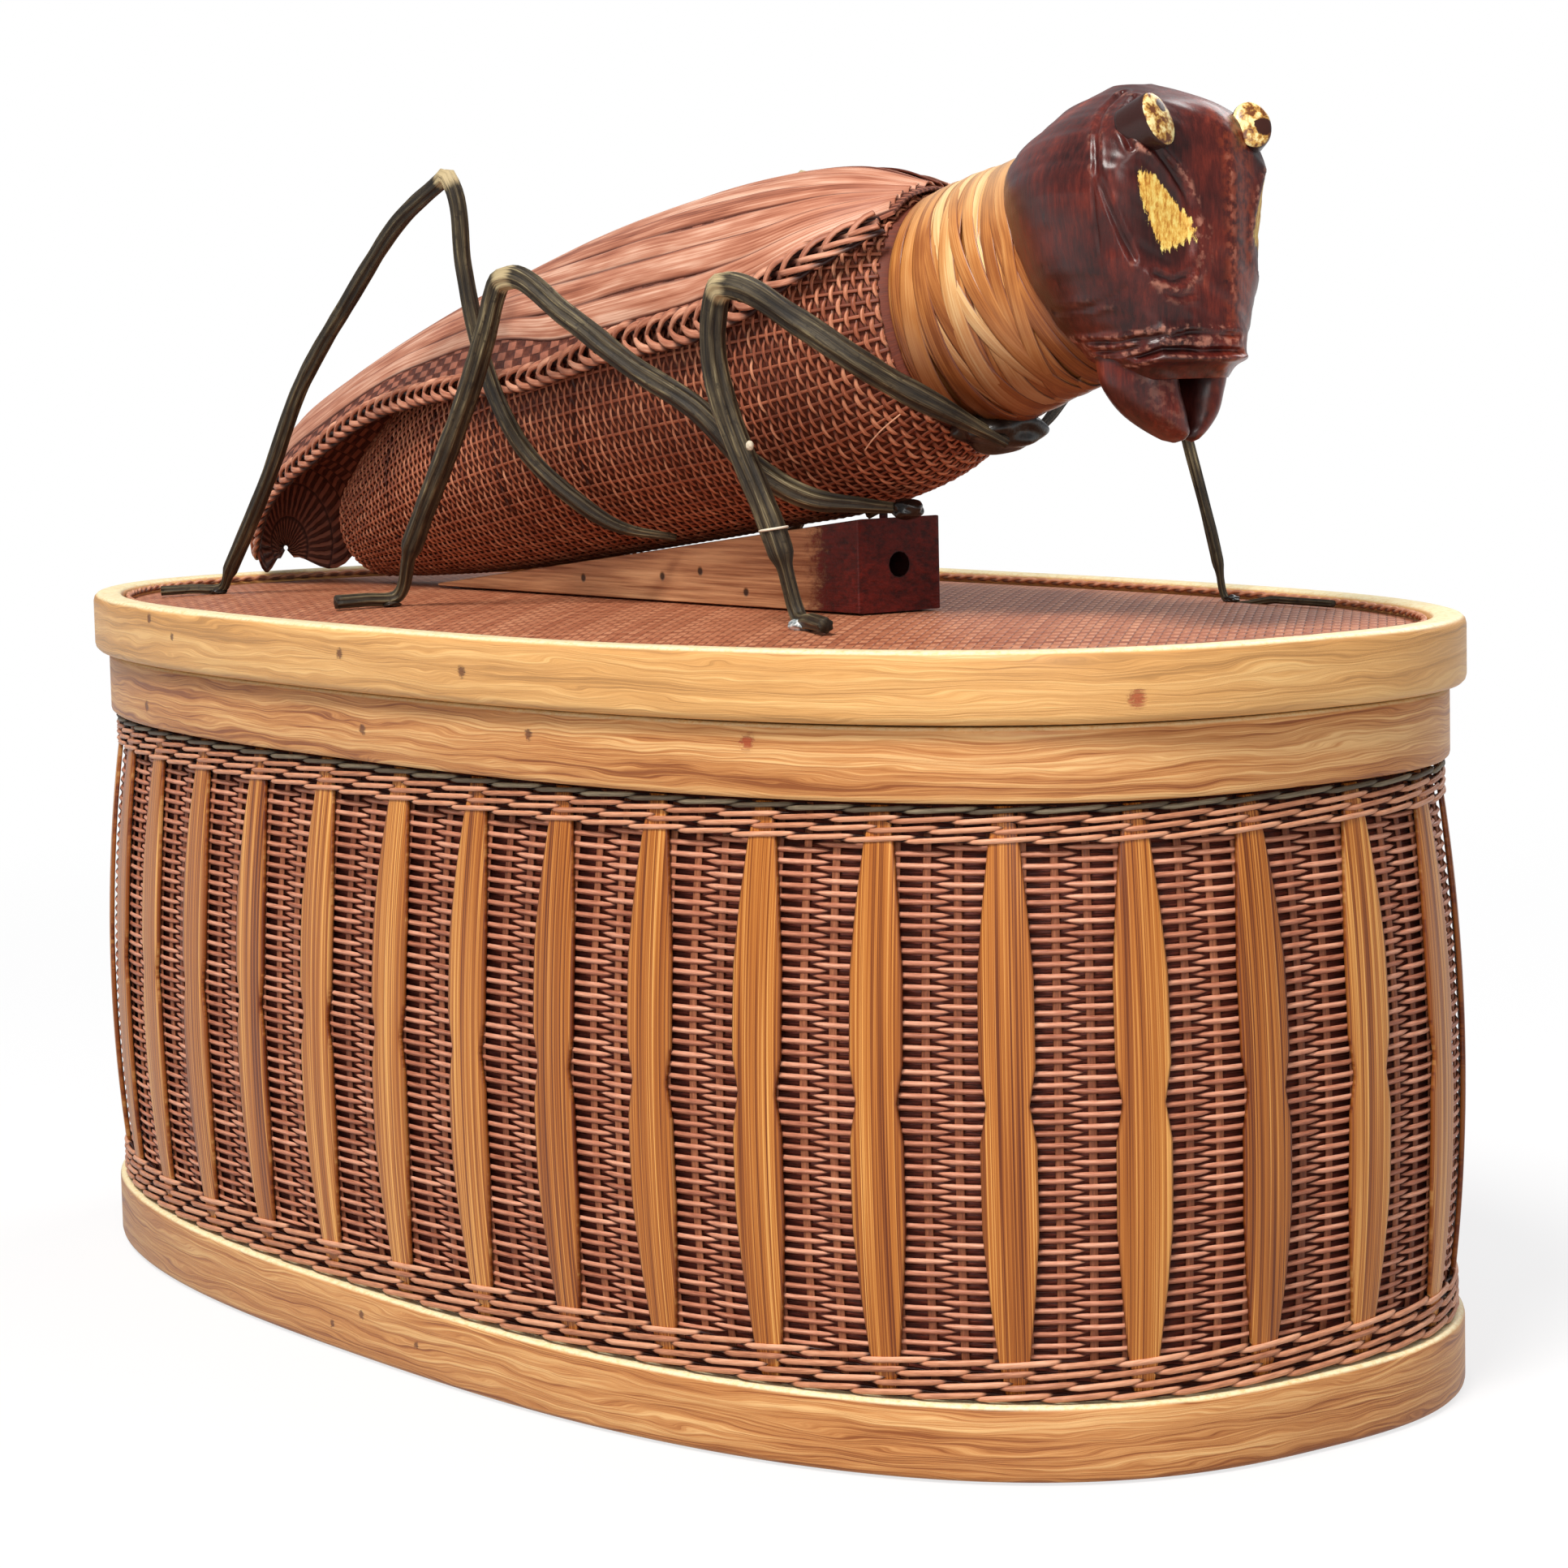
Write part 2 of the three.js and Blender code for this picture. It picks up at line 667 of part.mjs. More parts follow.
function wing_shell() {
  const shares = [-0.176, -0.168, -0.15, -0.11, -0.05, 0.05, 0.18, 0.34, 0.52, 0.7, 0.84, 0.92, 1];
  const outer = loft(shares.map((share) => wing_ring(share, wing_gap + wing_thickness)));
  const hollow = shares.slice(1).map((share) => wing_ring(share, wing_gap));
  hollow.push(hollow.at(-1).map((p) => p.clone().add(new THREE.Vector3(2, 0, 0))));
  const under = new THREE.Shape();
  const edge = Array.from({ length: 21 }, (_, i) => THREE.MathUtils.lerp(-0.16, 1, i / 20));
  const lift = braid_width * 0.3;
  const reach = abdomen_length * 2;
  under.moveTo(reach, -abdomen_height * 2);
  under.lineTo(reach, belly_seat + braid_at(1)[0] * abdomen_height + lift);
  [...edge].reverse().forEach((share) => {
    under.lineTo(abdomen_tail + wing_place(share) * abdomen_length,
      belly_seat + braid_at(share)[0] * abdomen_height + lift);
  });
  under.lineTo(-reach, belly_seat + braid_at(-0.16)[0] * abdomen_height + lift);
  under.lineTo(-reach, -abdomen_height * 2);
  const below = new THREE.ExtrudeGeometry(under, { depth: abdomen_width * 2, bevelEnabled: false });
  below.translate(0, 0, -abdomen_width);
  below.rotateX(Math.PI / 2);
  return solid(outer).subtract(solid(loft(hollow))).subtract(solid(below));
}

// The strips' ends are plaited into a braid along each edge of the wings
function braid(side) {
  const steps = 22;
  const line = [];
  for (let i = 0; i <= steps; i += 1) {
    const share = THREE.MathUtils.lerp(-0.138, 0.985, i / steps);
    const [centre, height, width] = wing_at(share);
    const h = height * abdomen_height / 2 + wing_gap + wing_thickness / 2 + braid_lift;
    const w = width * abdomen_width / 2 + wing_gap + wing_thickness / 2 + braid_lift;
    const up = THREE.MathUtils.clamp((braid_at(share)[0] - centre) * abdomen_height / h, -0.98, 0.98);
    const place = new THREE.Vector3(
      abdomen_tail + wing_place(share) * abdomen_length,
      side * w * Math.sqrt(1 - up * up),
      belly_seat + centre * abdomen_height + up * h,
    );
    const out = new THREE.Vector3(0, side * Math.sqrt(1 - up * up) / w, up / h).normalize();
    line.push({ place, out });
  }
  const rings = line.map(({ place, out }, i) => {
    const before = line[Math.max(0, i - 1)].place;
    const after = line[Math.min(steps, i + 1)].place;
    const along = after.clone().sub(before).normalize();
    const across = new THREE.Vector3().crossVectors(along, out).normalize();
    const normal = new THREE.Vector3().crossVectors(across, along).normalize();
    return Array.from({ length: 6 }, (_, j) => {
      const angle = (j / 6) * Math.PI * 2;
      return place.clone()
        .addScaledVector(across, -Math.cos(angle) * braid_width / 2)
        .addScaledVector(normal, Math.sin(angle) * braid_thickness / 2);
    });
  });
  return loft(rings);
}
add(insect, 'wing_shell', geometry_of(wing_shell().add(solid(braid(-1))).add(solid(braid(1)))), wing_strip);

// Carved head, in the lid's own upright frame, from the middle of its collar. It is one piece with
// the tenon that the neck strip is wound on.

const collar = neck_at(1);
const collar_centre = insect.localToWorld(new THREE.Vector3(collar.x, 0, collar.centre));
const collar_lean = collar.lean + slope;
const head_frame = new THREE.Group();
head_frame.position.copy(collar_centre);
lid.add(head_frame);

// Rows of the head from top to bottom: height as a share of the crown or, below the collar's
// middle, of the chin; then back and front as shares of the length, half width as a share, and how
// far the front is rounded off, from square to 1, an ellipse
const head_rows = [
  [1, 0.32, 0.55, 0.14, 0.9],
  [0.95, 0.2, 0.7, 0.32, 0.8],
  [0.87, 0, 0.88, 0.54, 0.7],
  [0.76, -0.14, 0.97, 0.76, 0.6],
  [0.62, -0.34, 1, 0.9, 0.58],
  [0.4, -0.42, 1.02, 1, 0.58],
  [0, -0.34, 1.03, 0.92, 0.66],
  [-0.5, -0.12, 1.04, 0.76, 0.8],
  [-0.76, 0.12, 1.05, 0.64, 0.86],
  [-0.84, 0.2, 1.07, 0.62, 0.9],
  [-0.9, 0.3, 1.0, 0.56, 0.9],
  [-1, 0.38, 0.95, 0.5, 0.9],
];

function head_ring([height, back, front, width, rounding]) {
  const z = height * (height > 0 ? head_crown : head_chin);
  const x_back = back * head_length;
  const x_front = front * head_length;
  const x_wide = THREE.MathUtils.lerp(x_back, x_front, 0.66);
  const half = width * head_width / 2;
  const sides = 32;
  return Array.from({ length: sides }, (_, i) => {
    const angle = (i / sides) * Math.PI * 2;
    const c = Math.cos(angle);
    const s = Math.sin(angle);
    const power = c > 0 ? rounding : 1.25;
    const reach = (c > 0 ? x_front : x_back) - x_wide;
    const y = half * Math.sign(s) * Math.abs(s) ** power;
    const ridge = c > 0 ? nose_ridge * Math.exp(-((y / (head_width * 0.09)) ** 2)) : 0;
    return new THREE.Vector3(x_wide + reach * Math.abs(c) ** power + ridge * width, y, z);
  });
}

function oval_solid(x, y, z, centre, turn = 0) {
  const ball = new THREE.SphereGeometry(1, 20, 12);
  ball.scale(x, y, z);
  ball.rotateZ(turn);
  ball.translate(centre.x, centre.y, centre.z);
  return solid(ball);
}

function jaw(side) {
  const top = -0.8 * head_chin;
  const rows = [
    [0, 0.68, 0.17, 0.22, 0.15],
    [0.4, 0.69, 0.165, 0.19, 0.13],
    [0.72, 0.755, 0.1, 0.1, 0.075],
    [0.92, 0.79, 0.06, 0.05, 0.04],
    [1, 0.8, 0.045, 0.025, 0.025],
  ];
  return loft(rows.map(([down, ahead, apart, length, width]) => Array.from({ length: 10 }, (_, i) => {
    const angle = (i / 10) * Math.PI * 2;
    return new THREE.Vector3(
      (ahead + length * Math.cos(angle)) * head_length,
      (side * apart + width * Math.sin(angle)) * head_width,
      top - down * jaw_length,
    );
  })));
}

function eye_frame(side) {
  const axis = new THREE.Vector3(0.82, side * 0.42, 0.36).normalize();
  const tip = new THREE.Vector3(head_length, side * eye_spacing / 2, head_crown * 0.8);
  return { axis, tip };
}

// A round plug along an eye's axis, from its tip back into the head
function eye_plug(side, radius, back, crown) {
  const profile = [new THREE.Vector2(0, -back), new THREE.Vector2(radius, -back)];
  profile.push(new THREE.Vector2(radius, -crown), new THREE.Vector2(radius * 0.72, -crown * 0.25));
  profile.push(new THREE.Vector2(0, 0));
  const plug = new THREE.LatheGeometry(profile, 14);
  const { axis, tip } = eye_frame(side);
  plug.applyQuaternion(new THREE.Quaternion().setFromUnitVectors(new THREE.Vector3(0, 1, 0), axis));
  plug.translate(tip.x, tip.y, tip.z);
  return plug;
}

function head() {
  const skull = solid(loft(head_rows.map(head_ring)));
  const size = head_length + head_crown + head_chin + jaw_length;
  const behind = new THREE.BoxGeometry(size, size * 2, size * 4);
  behind.translate(-size / 2 + fit_gap, 0, 0);
  behind.rotateY(-collar_lean);
  let carved = skull.add(solid(jaw(-1))).add(solid(jaw(1))).subtract(solid(behind));
  for (const side of [-1, 1]) {
    const cheek = new THREE.Vector3(head_length, side * head_width * 0.27, head_crown * 0.22);
    const dish = oval_solid(cheek_depth * 1.8, cheek_width / 2, cheek_length / 2, cheek, side * 0.5);
    const socket = eye_plug(side, eye_diameter / 2 + fit_gap, eye_length + fit_gap, 0.1);
    carved = carved.subtract(dish).subtract(solid(socket).translate(
      eye_frame(side).axis.clone().multiplyScalar(eye_out * 2).toArray(),
    )).subtract(solid(socket));
  }
  const peg = tenon.clone().applyMatrix4(insect.matrixWorld);
  peg.translate(-collar_centre.x, -collar_centre.y, -collar_centre.z);
  return geometry_of(carved.add(solid(peg)));
}
add(head_frame, 'head', head(), head_lacquer);
add(head_frame, 'eye_right', eye_plug(-1, eye_diameter / 2, eye_length, eye_diameter * 0.16), eye_gilt);
add(head_frame, 'eye_left', eye_plug(1, eye_diameter / 2, eye_length, eye_diameter * 0.16), eye_gilt);

// Legs: stems folded at the knee, mitred at each bend, with a toe laid flat on the lid

const stem_sides = 8;

function stem(points, radius, toe_scale) {
  let across = new THREE.Vector3(0, 0, 1);
  return loft(points.map((point, i) => {
    const to_here = point.clone().sub(points[Math.max(0, i - 1)]);
    const to_next = points[Math.min(points.length - 1, i + 1)].clone().sub(point);
    const along = to_here.clone().normalize().add(to_next.clone().normalize()).normalize();
    const straight = to_next.lengthSq() > 0 ? to_next.normalize() : to_here.normalize();
    const normal = new THREE.Vector3().crossVectors(along, across).normalize();
    across = new THREE.Vector3().crossVectors(normal, along).normalize();
    const mitre = Math.min(1.25, 1 / Math.max(0.5, along.dot(straight)));
    const girth = radius * (i > points.length - 4 ? toe_scale : 1);
    return Array.from({ length: stem_sides }, (_, j) => {
      const angle = (j / stem_sides) * Math.PI * 2;
      const flute = j % 2 ? 0.9 : 1;
      return point.clone()
        .addScaledVector(normal, girth * flute * mitre * Math.cos(angle))
        .addScaledVector(across, girth * flute * Math.sin(angle));
    });
  }));
}

// A place beside the body: share of the abdomen's length, sideways as a share of its half width
// with the stem's radius added, height as a share of its height
function beside(side, radius, [along, out, up]) {
  return insect.localToWorld(new THREE.Vector3(
    abdomen_tail + along * abdomen_length,
    side * (out * abdomen_width / 2 + radius),
    belly_seat + up * abdomen_height,
  ));
}

// A place on the lid's panel, by its distance inwards from the panel's edge
function on_panel(side, x, margin, radius) {
  const a = half_length - panel_inset;
  const b = half_width - panel_inset;
  const y = side * (b * (1 - (Math.abs(x) / a) ** oval_power) ** (1 / oval_power) - margin);
  return new THREE.Vector3(x, y, panel_height(x, y) + fit_gap + radius);
}

function leg(side, diameter, body_points, foot, toe) {
  const radius = diameter / 2;
  const toe_radius = radius * toe_flatness;
  const sole = on_panel(side, foot[0], foot[1], toe_radius);
  const tip = on_panel(side, toe[0], toe[1], toe_radius);
  const points = body_points.map((place) => beside(side, radius, place));
  const ankle = sole.clone().lerp(points.at(-1), radius / 12);
  points.push(ankle, sole, sole.clone().lerp(tip, 0.5), tip);
  return { points, radius };
}

// The front legs start from the neck's underside, given as a share of the abdomen's height
const neck_under = 0.535 - neck_height / 2 / abdomen_height;
const middle_hips = {
  right: [[0.925, 0.07, 0.008], [0.905, 0.3, 0.03], [0.88, 0.55, 0.06], [0.845, 0.8, 0.17]],
  left: [[0.755, 0.42, 0.03], [0.76, 0.6, 0.07], [0.775, 0.84, 0.18]],
};
const legs = {
  front_leg_right: leg(-1, front_stem, [
    [1.059, 0.02, neck_under - 0.034], [1.05, 0.38, neck_under + 0.056],
    [1.033, 0.66, neck_under + 0.141], [1.018, 0.9, 0.41],
    [0.983, 1.12, 0.535], [0.945, 1.36, 0.65], [0.933, 1.38, 0.655],
    [0.922, 1.37, 0.63], [0.915, 1.37, 0.575],
  ], [68, 42.6], [84, 33]),
  front_leg_left: leg(1, front_stem_left, [
    [1.035, 0.05, neck_under - 0.044], [1.025, 0.38, neck_under + 0.026],
    [1.01, 0.66, neck_under + 0.106], [0.995, 1, 0.41], [0.98, 1.4, 0.535],
    [0.972, 1.85, 0.64], [0.966, 1.9, 0.64], [0.96, 1.92, 0.6],
  ], [71.5, 12.6], [98, 5]),
};
for (const [side, name] of [[-1, 'right'], [1, 'left']]) {
  legs[`middle_leg_${name}`] = leg(side, middle_stem, [
    ...middle_hips[name], [0.812, 1.02, 0.35], [0.755, 1.2, 0.5], [0.7, 1.38, 0.67], [0.638, 1.52, 0.815],
    [0.628, 1.53, 0.81], [0.618, 1.54, 0.77], [0.607, 1.55, 0.7],
  ], [-41.5, 33.4], [-44, 22]);
  legs[`rear_leg_${name}`] = leg(side, rear_stem, [
    [0.628, 0.35, 0.018], [0.6, 0.68, 0.07], [0.575, 0.92, 0.18], [0.553, 1.1, 0.31], [0.536, 1.21, 0.47],
    [0.527, 1.28, 0.65], [0.527, 1.35, 0.9], [0.533, 1.42, 1.155], [0.53, 1.43, 1.175], [0.52, 1.43, 1.165],
    [0.455, 1.43, 1.1], [0.34, 1.43, 0.885], [0.233, 1.43, 0.645], [0.155, 1.43, 0.38],
  ], [-115, 21.9], [-122, 8]);
}
Object.entries(legs).forEach(([name, { points, radius }]) => {
  add(lid, name, stem(points, radius, toe_flatness), leg_stem);
});

// Lump of pitch that holds the front legs under the neck
function leg_pitch() {
  const at = neck_at(pitch_share);
  const ball = new THREE.SphereGeometry(1, 16, 10);
  ball.scale(pitch_length / 2, pitch_width / 2, pitch_depth);
  ball.translate(at.x + at.height * Math.sin(at.lean), 0, at.centre - at.height * Math.cos(at.lean));
  ball.applyMatrix4(insect.matrixWorld);
  const clear_neck = neck(fit_gap, -0.1, 1.1, 7).applyMatrix4(insect.matrixWorld);
  let lump = solid(ball).subtract(solid(clear_neck));
  lump = lump.subtract(solid(abdomen(fit_gap).applyMatrix4(insect.matrixWorld)));
  for (const name of ['front_leg_right', 'front_leg_left']) {
    const { points, radius } = legs[name];
    const start = points[0].clone().sub(points[1]).setLength(fit_gap).add(points[0]);
    lump = lump.subtract(solid(stem([start, ...points.slice(1)], radius + fit_gap, toe_flatness)));
  }
  return geometry_of(lump);
}
add(lid, 'leg_pitch', leg_pitch(), pitch);

export default object;
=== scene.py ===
"""Looks for the woven bug box: an oval bamboo basket whose lid carries a woven grasshopper.

Metres in Blender; the sizes below are in millimetres, in the CAD's frame: +X is the long axis and
the way the grasshopper looks, -Y its right side, +Z up from the surface that the basket stands on.
"""
import math
from math import pi

import bmesh
import bpy
import numpy as np
from mathutils import Matrix, Quaternion, Vector


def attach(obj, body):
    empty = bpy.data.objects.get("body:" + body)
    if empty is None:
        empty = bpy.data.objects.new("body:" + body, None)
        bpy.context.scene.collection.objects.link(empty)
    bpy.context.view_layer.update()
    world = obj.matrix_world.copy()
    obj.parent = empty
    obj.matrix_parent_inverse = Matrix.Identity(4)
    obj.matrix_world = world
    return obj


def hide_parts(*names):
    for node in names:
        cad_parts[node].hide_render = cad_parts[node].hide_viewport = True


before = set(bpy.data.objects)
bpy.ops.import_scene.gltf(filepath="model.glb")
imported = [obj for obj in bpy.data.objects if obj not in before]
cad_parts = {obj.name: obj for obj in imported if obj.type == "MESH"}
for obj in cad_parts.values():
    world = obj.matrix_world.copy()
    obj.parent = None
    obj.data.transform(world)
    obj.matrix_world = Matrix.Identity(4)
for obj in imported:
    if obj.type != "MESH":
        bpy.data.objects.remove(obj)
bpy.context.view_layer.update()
scene = bpy.context.scene

# Camera, fitted to the hoops' outlines

camera_place = Vector((0.6272, -0.4524, 0.1784))
camera_target = Vector((0.0199, 0, 0.09563))
camera_roll = math.radians(-1.294)


def aim_camera():
    data = bpy.data.cameras.new("camera")
    data.lens = 96.02
    data.sensor_width = 36
    data.clip_start = 0.05
    camera = bpy.data.objects.new("camera", data)
    camera.location = camera_place
    look = (camera_target - camera_place).to_track_quat("-Z", "Y")
    camera.rotation_euler = (look @ Quaternion((0, 0, 1), camera_roll)).to_euler()
    scene.collection.objects.link(camera)
    scene.camera = camera


aim_camera()

# Finishes


def tint(red, green, blue):
    """A screen colour, three numbers from 0 to 255, as the shader's linear one"""
    shares = [value / 255 for value in (red, green, blue)]
    linear = [s / 12.92 if s <= 0.04045 else ((s + 0.055) / 1.055) ** 2.4 for s in shares]
    return (*linear, 1)


def shader_sum(operation, swapped=False):
    def act(self, other=0.0):
        pair = [other, self] if swapped else [self, other]
        return self.finish.node("ShaderNodeMath", {"operation": operation}, pair)
    return act


class Amount:
    """A number, colour or place that varies over a surface"""

    def __init__(self, finish, socket):
        self.finish = finish
        self.socket = socket

    __add__ = __radd__ = shader_sum("ADD")
    __sub__ = shader_sum("SUBTRACT")
    __rsub__ = shader_sum("SUBTRACT", swapped=True)
    __mul__ = __rmul__ = shader_sum("MULTIPLY")
    __truediv__ = shader_sum("DIVIDE")
    __pow__ = shader_sum("POWER")
    __mod__ = shader_sum("FLOORED_MODULO")
    __abs__ = shader_sum("ABSOLUTE")
    floor = shader_sum("FLOOR")
    sine = shader_sum("SINE")
    least = shader_sum("MINIMUM")
    most = shader_sum("MAXIMUM")

    def between(self, low, high, out_low=0.0, out_high=1.0):
        """Eases from out_low to out_high as this goes from low to high"""
        return self.finish.node(
            "ShaderNodeMapRange", {"interpolation_type": "SMOOTHSTEP"},
            [self, low, high, out_low, out_high])


class Finish:
    """A material, with the nodes that paint it"""

    def __init__(self, name, roughness=0.5, coat=0.0, coat_roughness=0.2):
        self.material = bpy.data.materials.new(name)
        self.material.use_nodes = True
        self.tree = self.material.node_tree
        self.shader = self.tree.nodes["Principled BSDF"]
        for name, value in (("Roughness", roughness), ("Specular IOR Level", 0.3),
                            ("Coat Weight", coat), ("Coat Roughness", coat_roughness)):
            self.shader.inputs[name].default_value = value
        self.places = {}

    def put(self, socket, value):
        if isinstance(value, Amount):
            self.tree.links.new(value.socket, socket)
        elif isinstance(value, tuple) and len(value) == 3:
            socket.default_value = tint(*value)
        else:
            socket.default_value = value

    def node(self, kind, settings=None, values=(), output=0):
        node = self.tree.nodes.new(kind)
        for name, value in (settings or {}).items():
            if name == "stops":
                ramp = node.color_ramp
                for _ in range(len(value) - 2):
                    ramp.elements.new(0.5)
                for element, (position, *colour) in zip(ramp.elements, value):
                    element.position = position
                    element.color = tint(*colour)
            else:
                setattr(node, name, value)
        pairs = values.items() if isinstance(values, dict) else enumerate(values)
        for socket, value in pairs:
            self.put(node.inputs[socket], value)
        return Amount(self, node.outputs[output])

    def axes(self, kind):
        """The three numbers of the place on the object, in mm, or of the piece's own map"""
        if kind not in self.places:
            where = self.node("ShaderNodeTexCoord", output=kind)
            scale = 1000 if kind == "Object" else 1
            self.places[kind] = [
                self.node("ShaderNodeSeparateXYZ", values=[where], output=i) * scale for i in range(3)]
        return self.places[kind]

    def own(self, name):
        """A number that the piece carries at each point"""
        return self.node("ShaderNodeAttribute", {"attribute_name": name}, output="Fac")

    def noise(self, x, y, z=0.0, scale=1.0, detail=3.0, rough=0.55):
        place = self.node("ShaderNodeCombineXYZ", values=[x, y, z])
        values = {"Vector": place, "Scale": scale, "Detail": detail, "Roughness": rough}
        return self.node("ShaderNodeTexNoise", values=values)

    def mix(self, share, first, second, blend="MIX"):
        settings = {"data_type": "RGBA", "blend_type": blend}
        return self.node("ShaderNodeMix", settings, {0: share, 6: first, 7: second}, output=2)

    def ramp(self, share, *stops):
        return self.node("ShaderNodeValToRGB", {"stops": stops}, [share])

    def bump(self, height, depth, strength=0.6):
        """Relief of so many mm"""
        normal = self.node(
            "ShaderNodeBump", values={"Height": height, "Distance": depth / 1000, "Strength": strength})
        self.put(self.shader.inputs["Normal"], normal)

    def colour(self, value):
        self.put(self.shader.inputs["Base Color"], value)

    def roughness(self, value):
        self.put(self.shader.inputs["Roughness"], value)


def spot(finish, places, centre, radius, soft=0.4):
    """A mask that is 1 within radius of a place"""
    far = sum((places[i] - centre[i]) ** 2 for i in range(3)) ** 0.5
    return far.between(radius * (1 - soft), radius * (1 + soft), 1, 0)


# Strands, strips and skins

MM = 0.001
chance = np.random.default_rng(7)


def strands(name, count, along, around, place, closed=False):
    """count strands, each a grid rolled into a tube. place(k, u, v) gives their points in mm and what
    they carry: k numbers the strand, u is the share of its length and v the share round its girth."""
    shape = bmesh.new()
    for _ in range(count):
        bmesh.ops.create_grid(shape, x_segments=along, y_segments=around, size=0.5)
    mesh = bpy.data.meshes.new(name)
    shape.to_mesh(mesh)
    flat = np.empty(len(mesh.vertices) * 3)
    mesh.vertices.foreach_get("co", flat)
    flat = flat.reshape(-1, 3)
    k = np.repeat(np.arange(count), len(flat) // count)
    u = flat[:, 0] + 0.5
    v = flat[:, 1] + 0.5
    points, carried = place(k, u, v)
    mesh.vertices.foreach_set("co", (np.stack(points, 1) * MM).ravel())
    chart = np.stack([carried.pop("u"), carried.pop("v")], 1)
    corner = np.empty(len(mesh.loops), int)
    mesh.loops.foreach_get("vertex_index", corner)
    mesh.uv_layers.new(name="UVMap").data.foreach_set("uv", chart[corner].ravel())
    for title, values in carried.items():
        layer = mesh.attributes.new(title, "FLOAT", "POINT")
        layer.data.foreach_set("value", np.zeros(len(k)) + values)
    shape.clear()
    shape.from_mesh(mesh)
    bmesh.ops.remove_doubles(shape, verts=shape.verts, dist=1e-6)
    if not closed:
        rim = [edge for edge in shape.edges if edge.is_boundary]
        bmesh.ops.holes_fill(shape, edges=rim, sides=0)
    bmesh.ops.recalc_face_normals(shape, faces=shape.faces)
    for face in shape.faces:
        face.smooth = True
    shape.to_mesh(mesh)
    shape.free()
    return mesh


def dress(mesh, finish, body, slot, *nodes):
    """Puts a finished mesh on its body, in place of the CAD nodes it stands for"""
    thing = bpy.data.objects.new(mesh.name, mesh)
    mesh.materials.append(finish.material)
    scene.collection.objects.link(thing)
    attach(thing, body)
    if nodes:
        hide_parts(*nodes)
    return thing


def rounded(v, half_width, half_height, radius):
    """Round a rounded rectangle, anticlockwise from its right side's upper corner"""
    quarter = np.minimum((v * 4).astype(int), 3)
    part = v * 4 - quarter
    angle = (quarter + np.clip(part * 2, 0, 1)) * pi / 2
    run = np.clip(part * 2 - 1, 0, 1)
    side = np.array([1, -1, -1, 1, 1])
    level = np.array([1, 1, -1, -1, 1])
    across = side[quarter] + run * (side[quarter + 1] - side[quarter])
    up = level[quarter] + run * (level[quarter + 1] - level[quarter])
    return (across * (half_width - radius) + radius * np.cos(angle),
            up * (half_height - radius) + radius * np.sin(angle))


def eased(value, low, high):
    share = np.clip((value - low) / (high - low), 0, 1)
    return share * share * (3 - 2 * share)


def wobble(along, seed, length):
    """A slow irregular wave between about -1 and 1"""
    waves = [(1, 0.5), (1.73, 0.3), (2.9, 0.2)]
    return sum(size * np.sin(along / length * rate * 2 * pi + seed * 1.7 * rate) for rate, size in waves)


# Oval plan of the basket

half_length = 159.9
half_width = 84.65
oval_power = 2.58
slat_count = 36
slat_drift = 6.5


def outline():
    angle = np.linspace(0, 2 * pi, slat_count * 400 + 1)
    c = np.cos(angle)
    s = np.sin(angle)
    x = half_length * np.sign(c) * np.abs(c) ** (2 / oval_power)
    y = half_width * np.sign(s) * np.abs(s) ** (2 / oval_power)
    reach = np.concatenate([[0], np.cumsum(np.hypot(np.diff(x), np.diff(y)))])
    return x, y, reach


oval_x, oval_y, oval_reach = outline()
perimeter = oval_reach[-1]


def oval(share, offset=0.0):
    """Place on the oval at a share of its length, offset outwards. The near long side's slats stray."""
    stray = np.where(share < 0.64, 0, 0.5 - 0.5 * np.cos((share - 0.64) / 0.36 * 2 * pi))
    arc = (share * perimeter + slat_drift * stray) % perimeter
    x = np.interp(arc, oval_reach, oval_x)
    y = np.interp(arc, oval_reach, oval_y)
    nx = np.sign(x) * np.abs(x / half_length) ** (oval_power - 1) / half_length
    ny = np.sign(y) * np.abs(y / half_width) ** (oval_power - 1) / half_width
    length = np.hypot(nx, ny)
    return x + offset * nx / length, y + offset * ny / length


# Heights of the basket and the lid

base_top = 12.2
rim_bottom = 105.4
rim_top = 117.3
lid_bottom = 117.6
lid_top = 129.0
slat_bottom = 19.5
slat_top = 98.7
slat_middle = 59.1
slat_half = 39.6


base_inset = -0.8
rim_inset = -2.7
hoop_thickness = 4.8
wall_middle = 58.8
wall_half = 46.6
wall_bow = 3.4


def hoop_line(z):
    return np.interp(z, [base_top, rim_bottom], [base_inset, rim_inset])


def weave_face(z):
    return hoop_line(z) - 3.2 + wall_bow * (1 - ((z - wall_middle) / wall_half) ** 2)


# Bamboo of the bent hoops


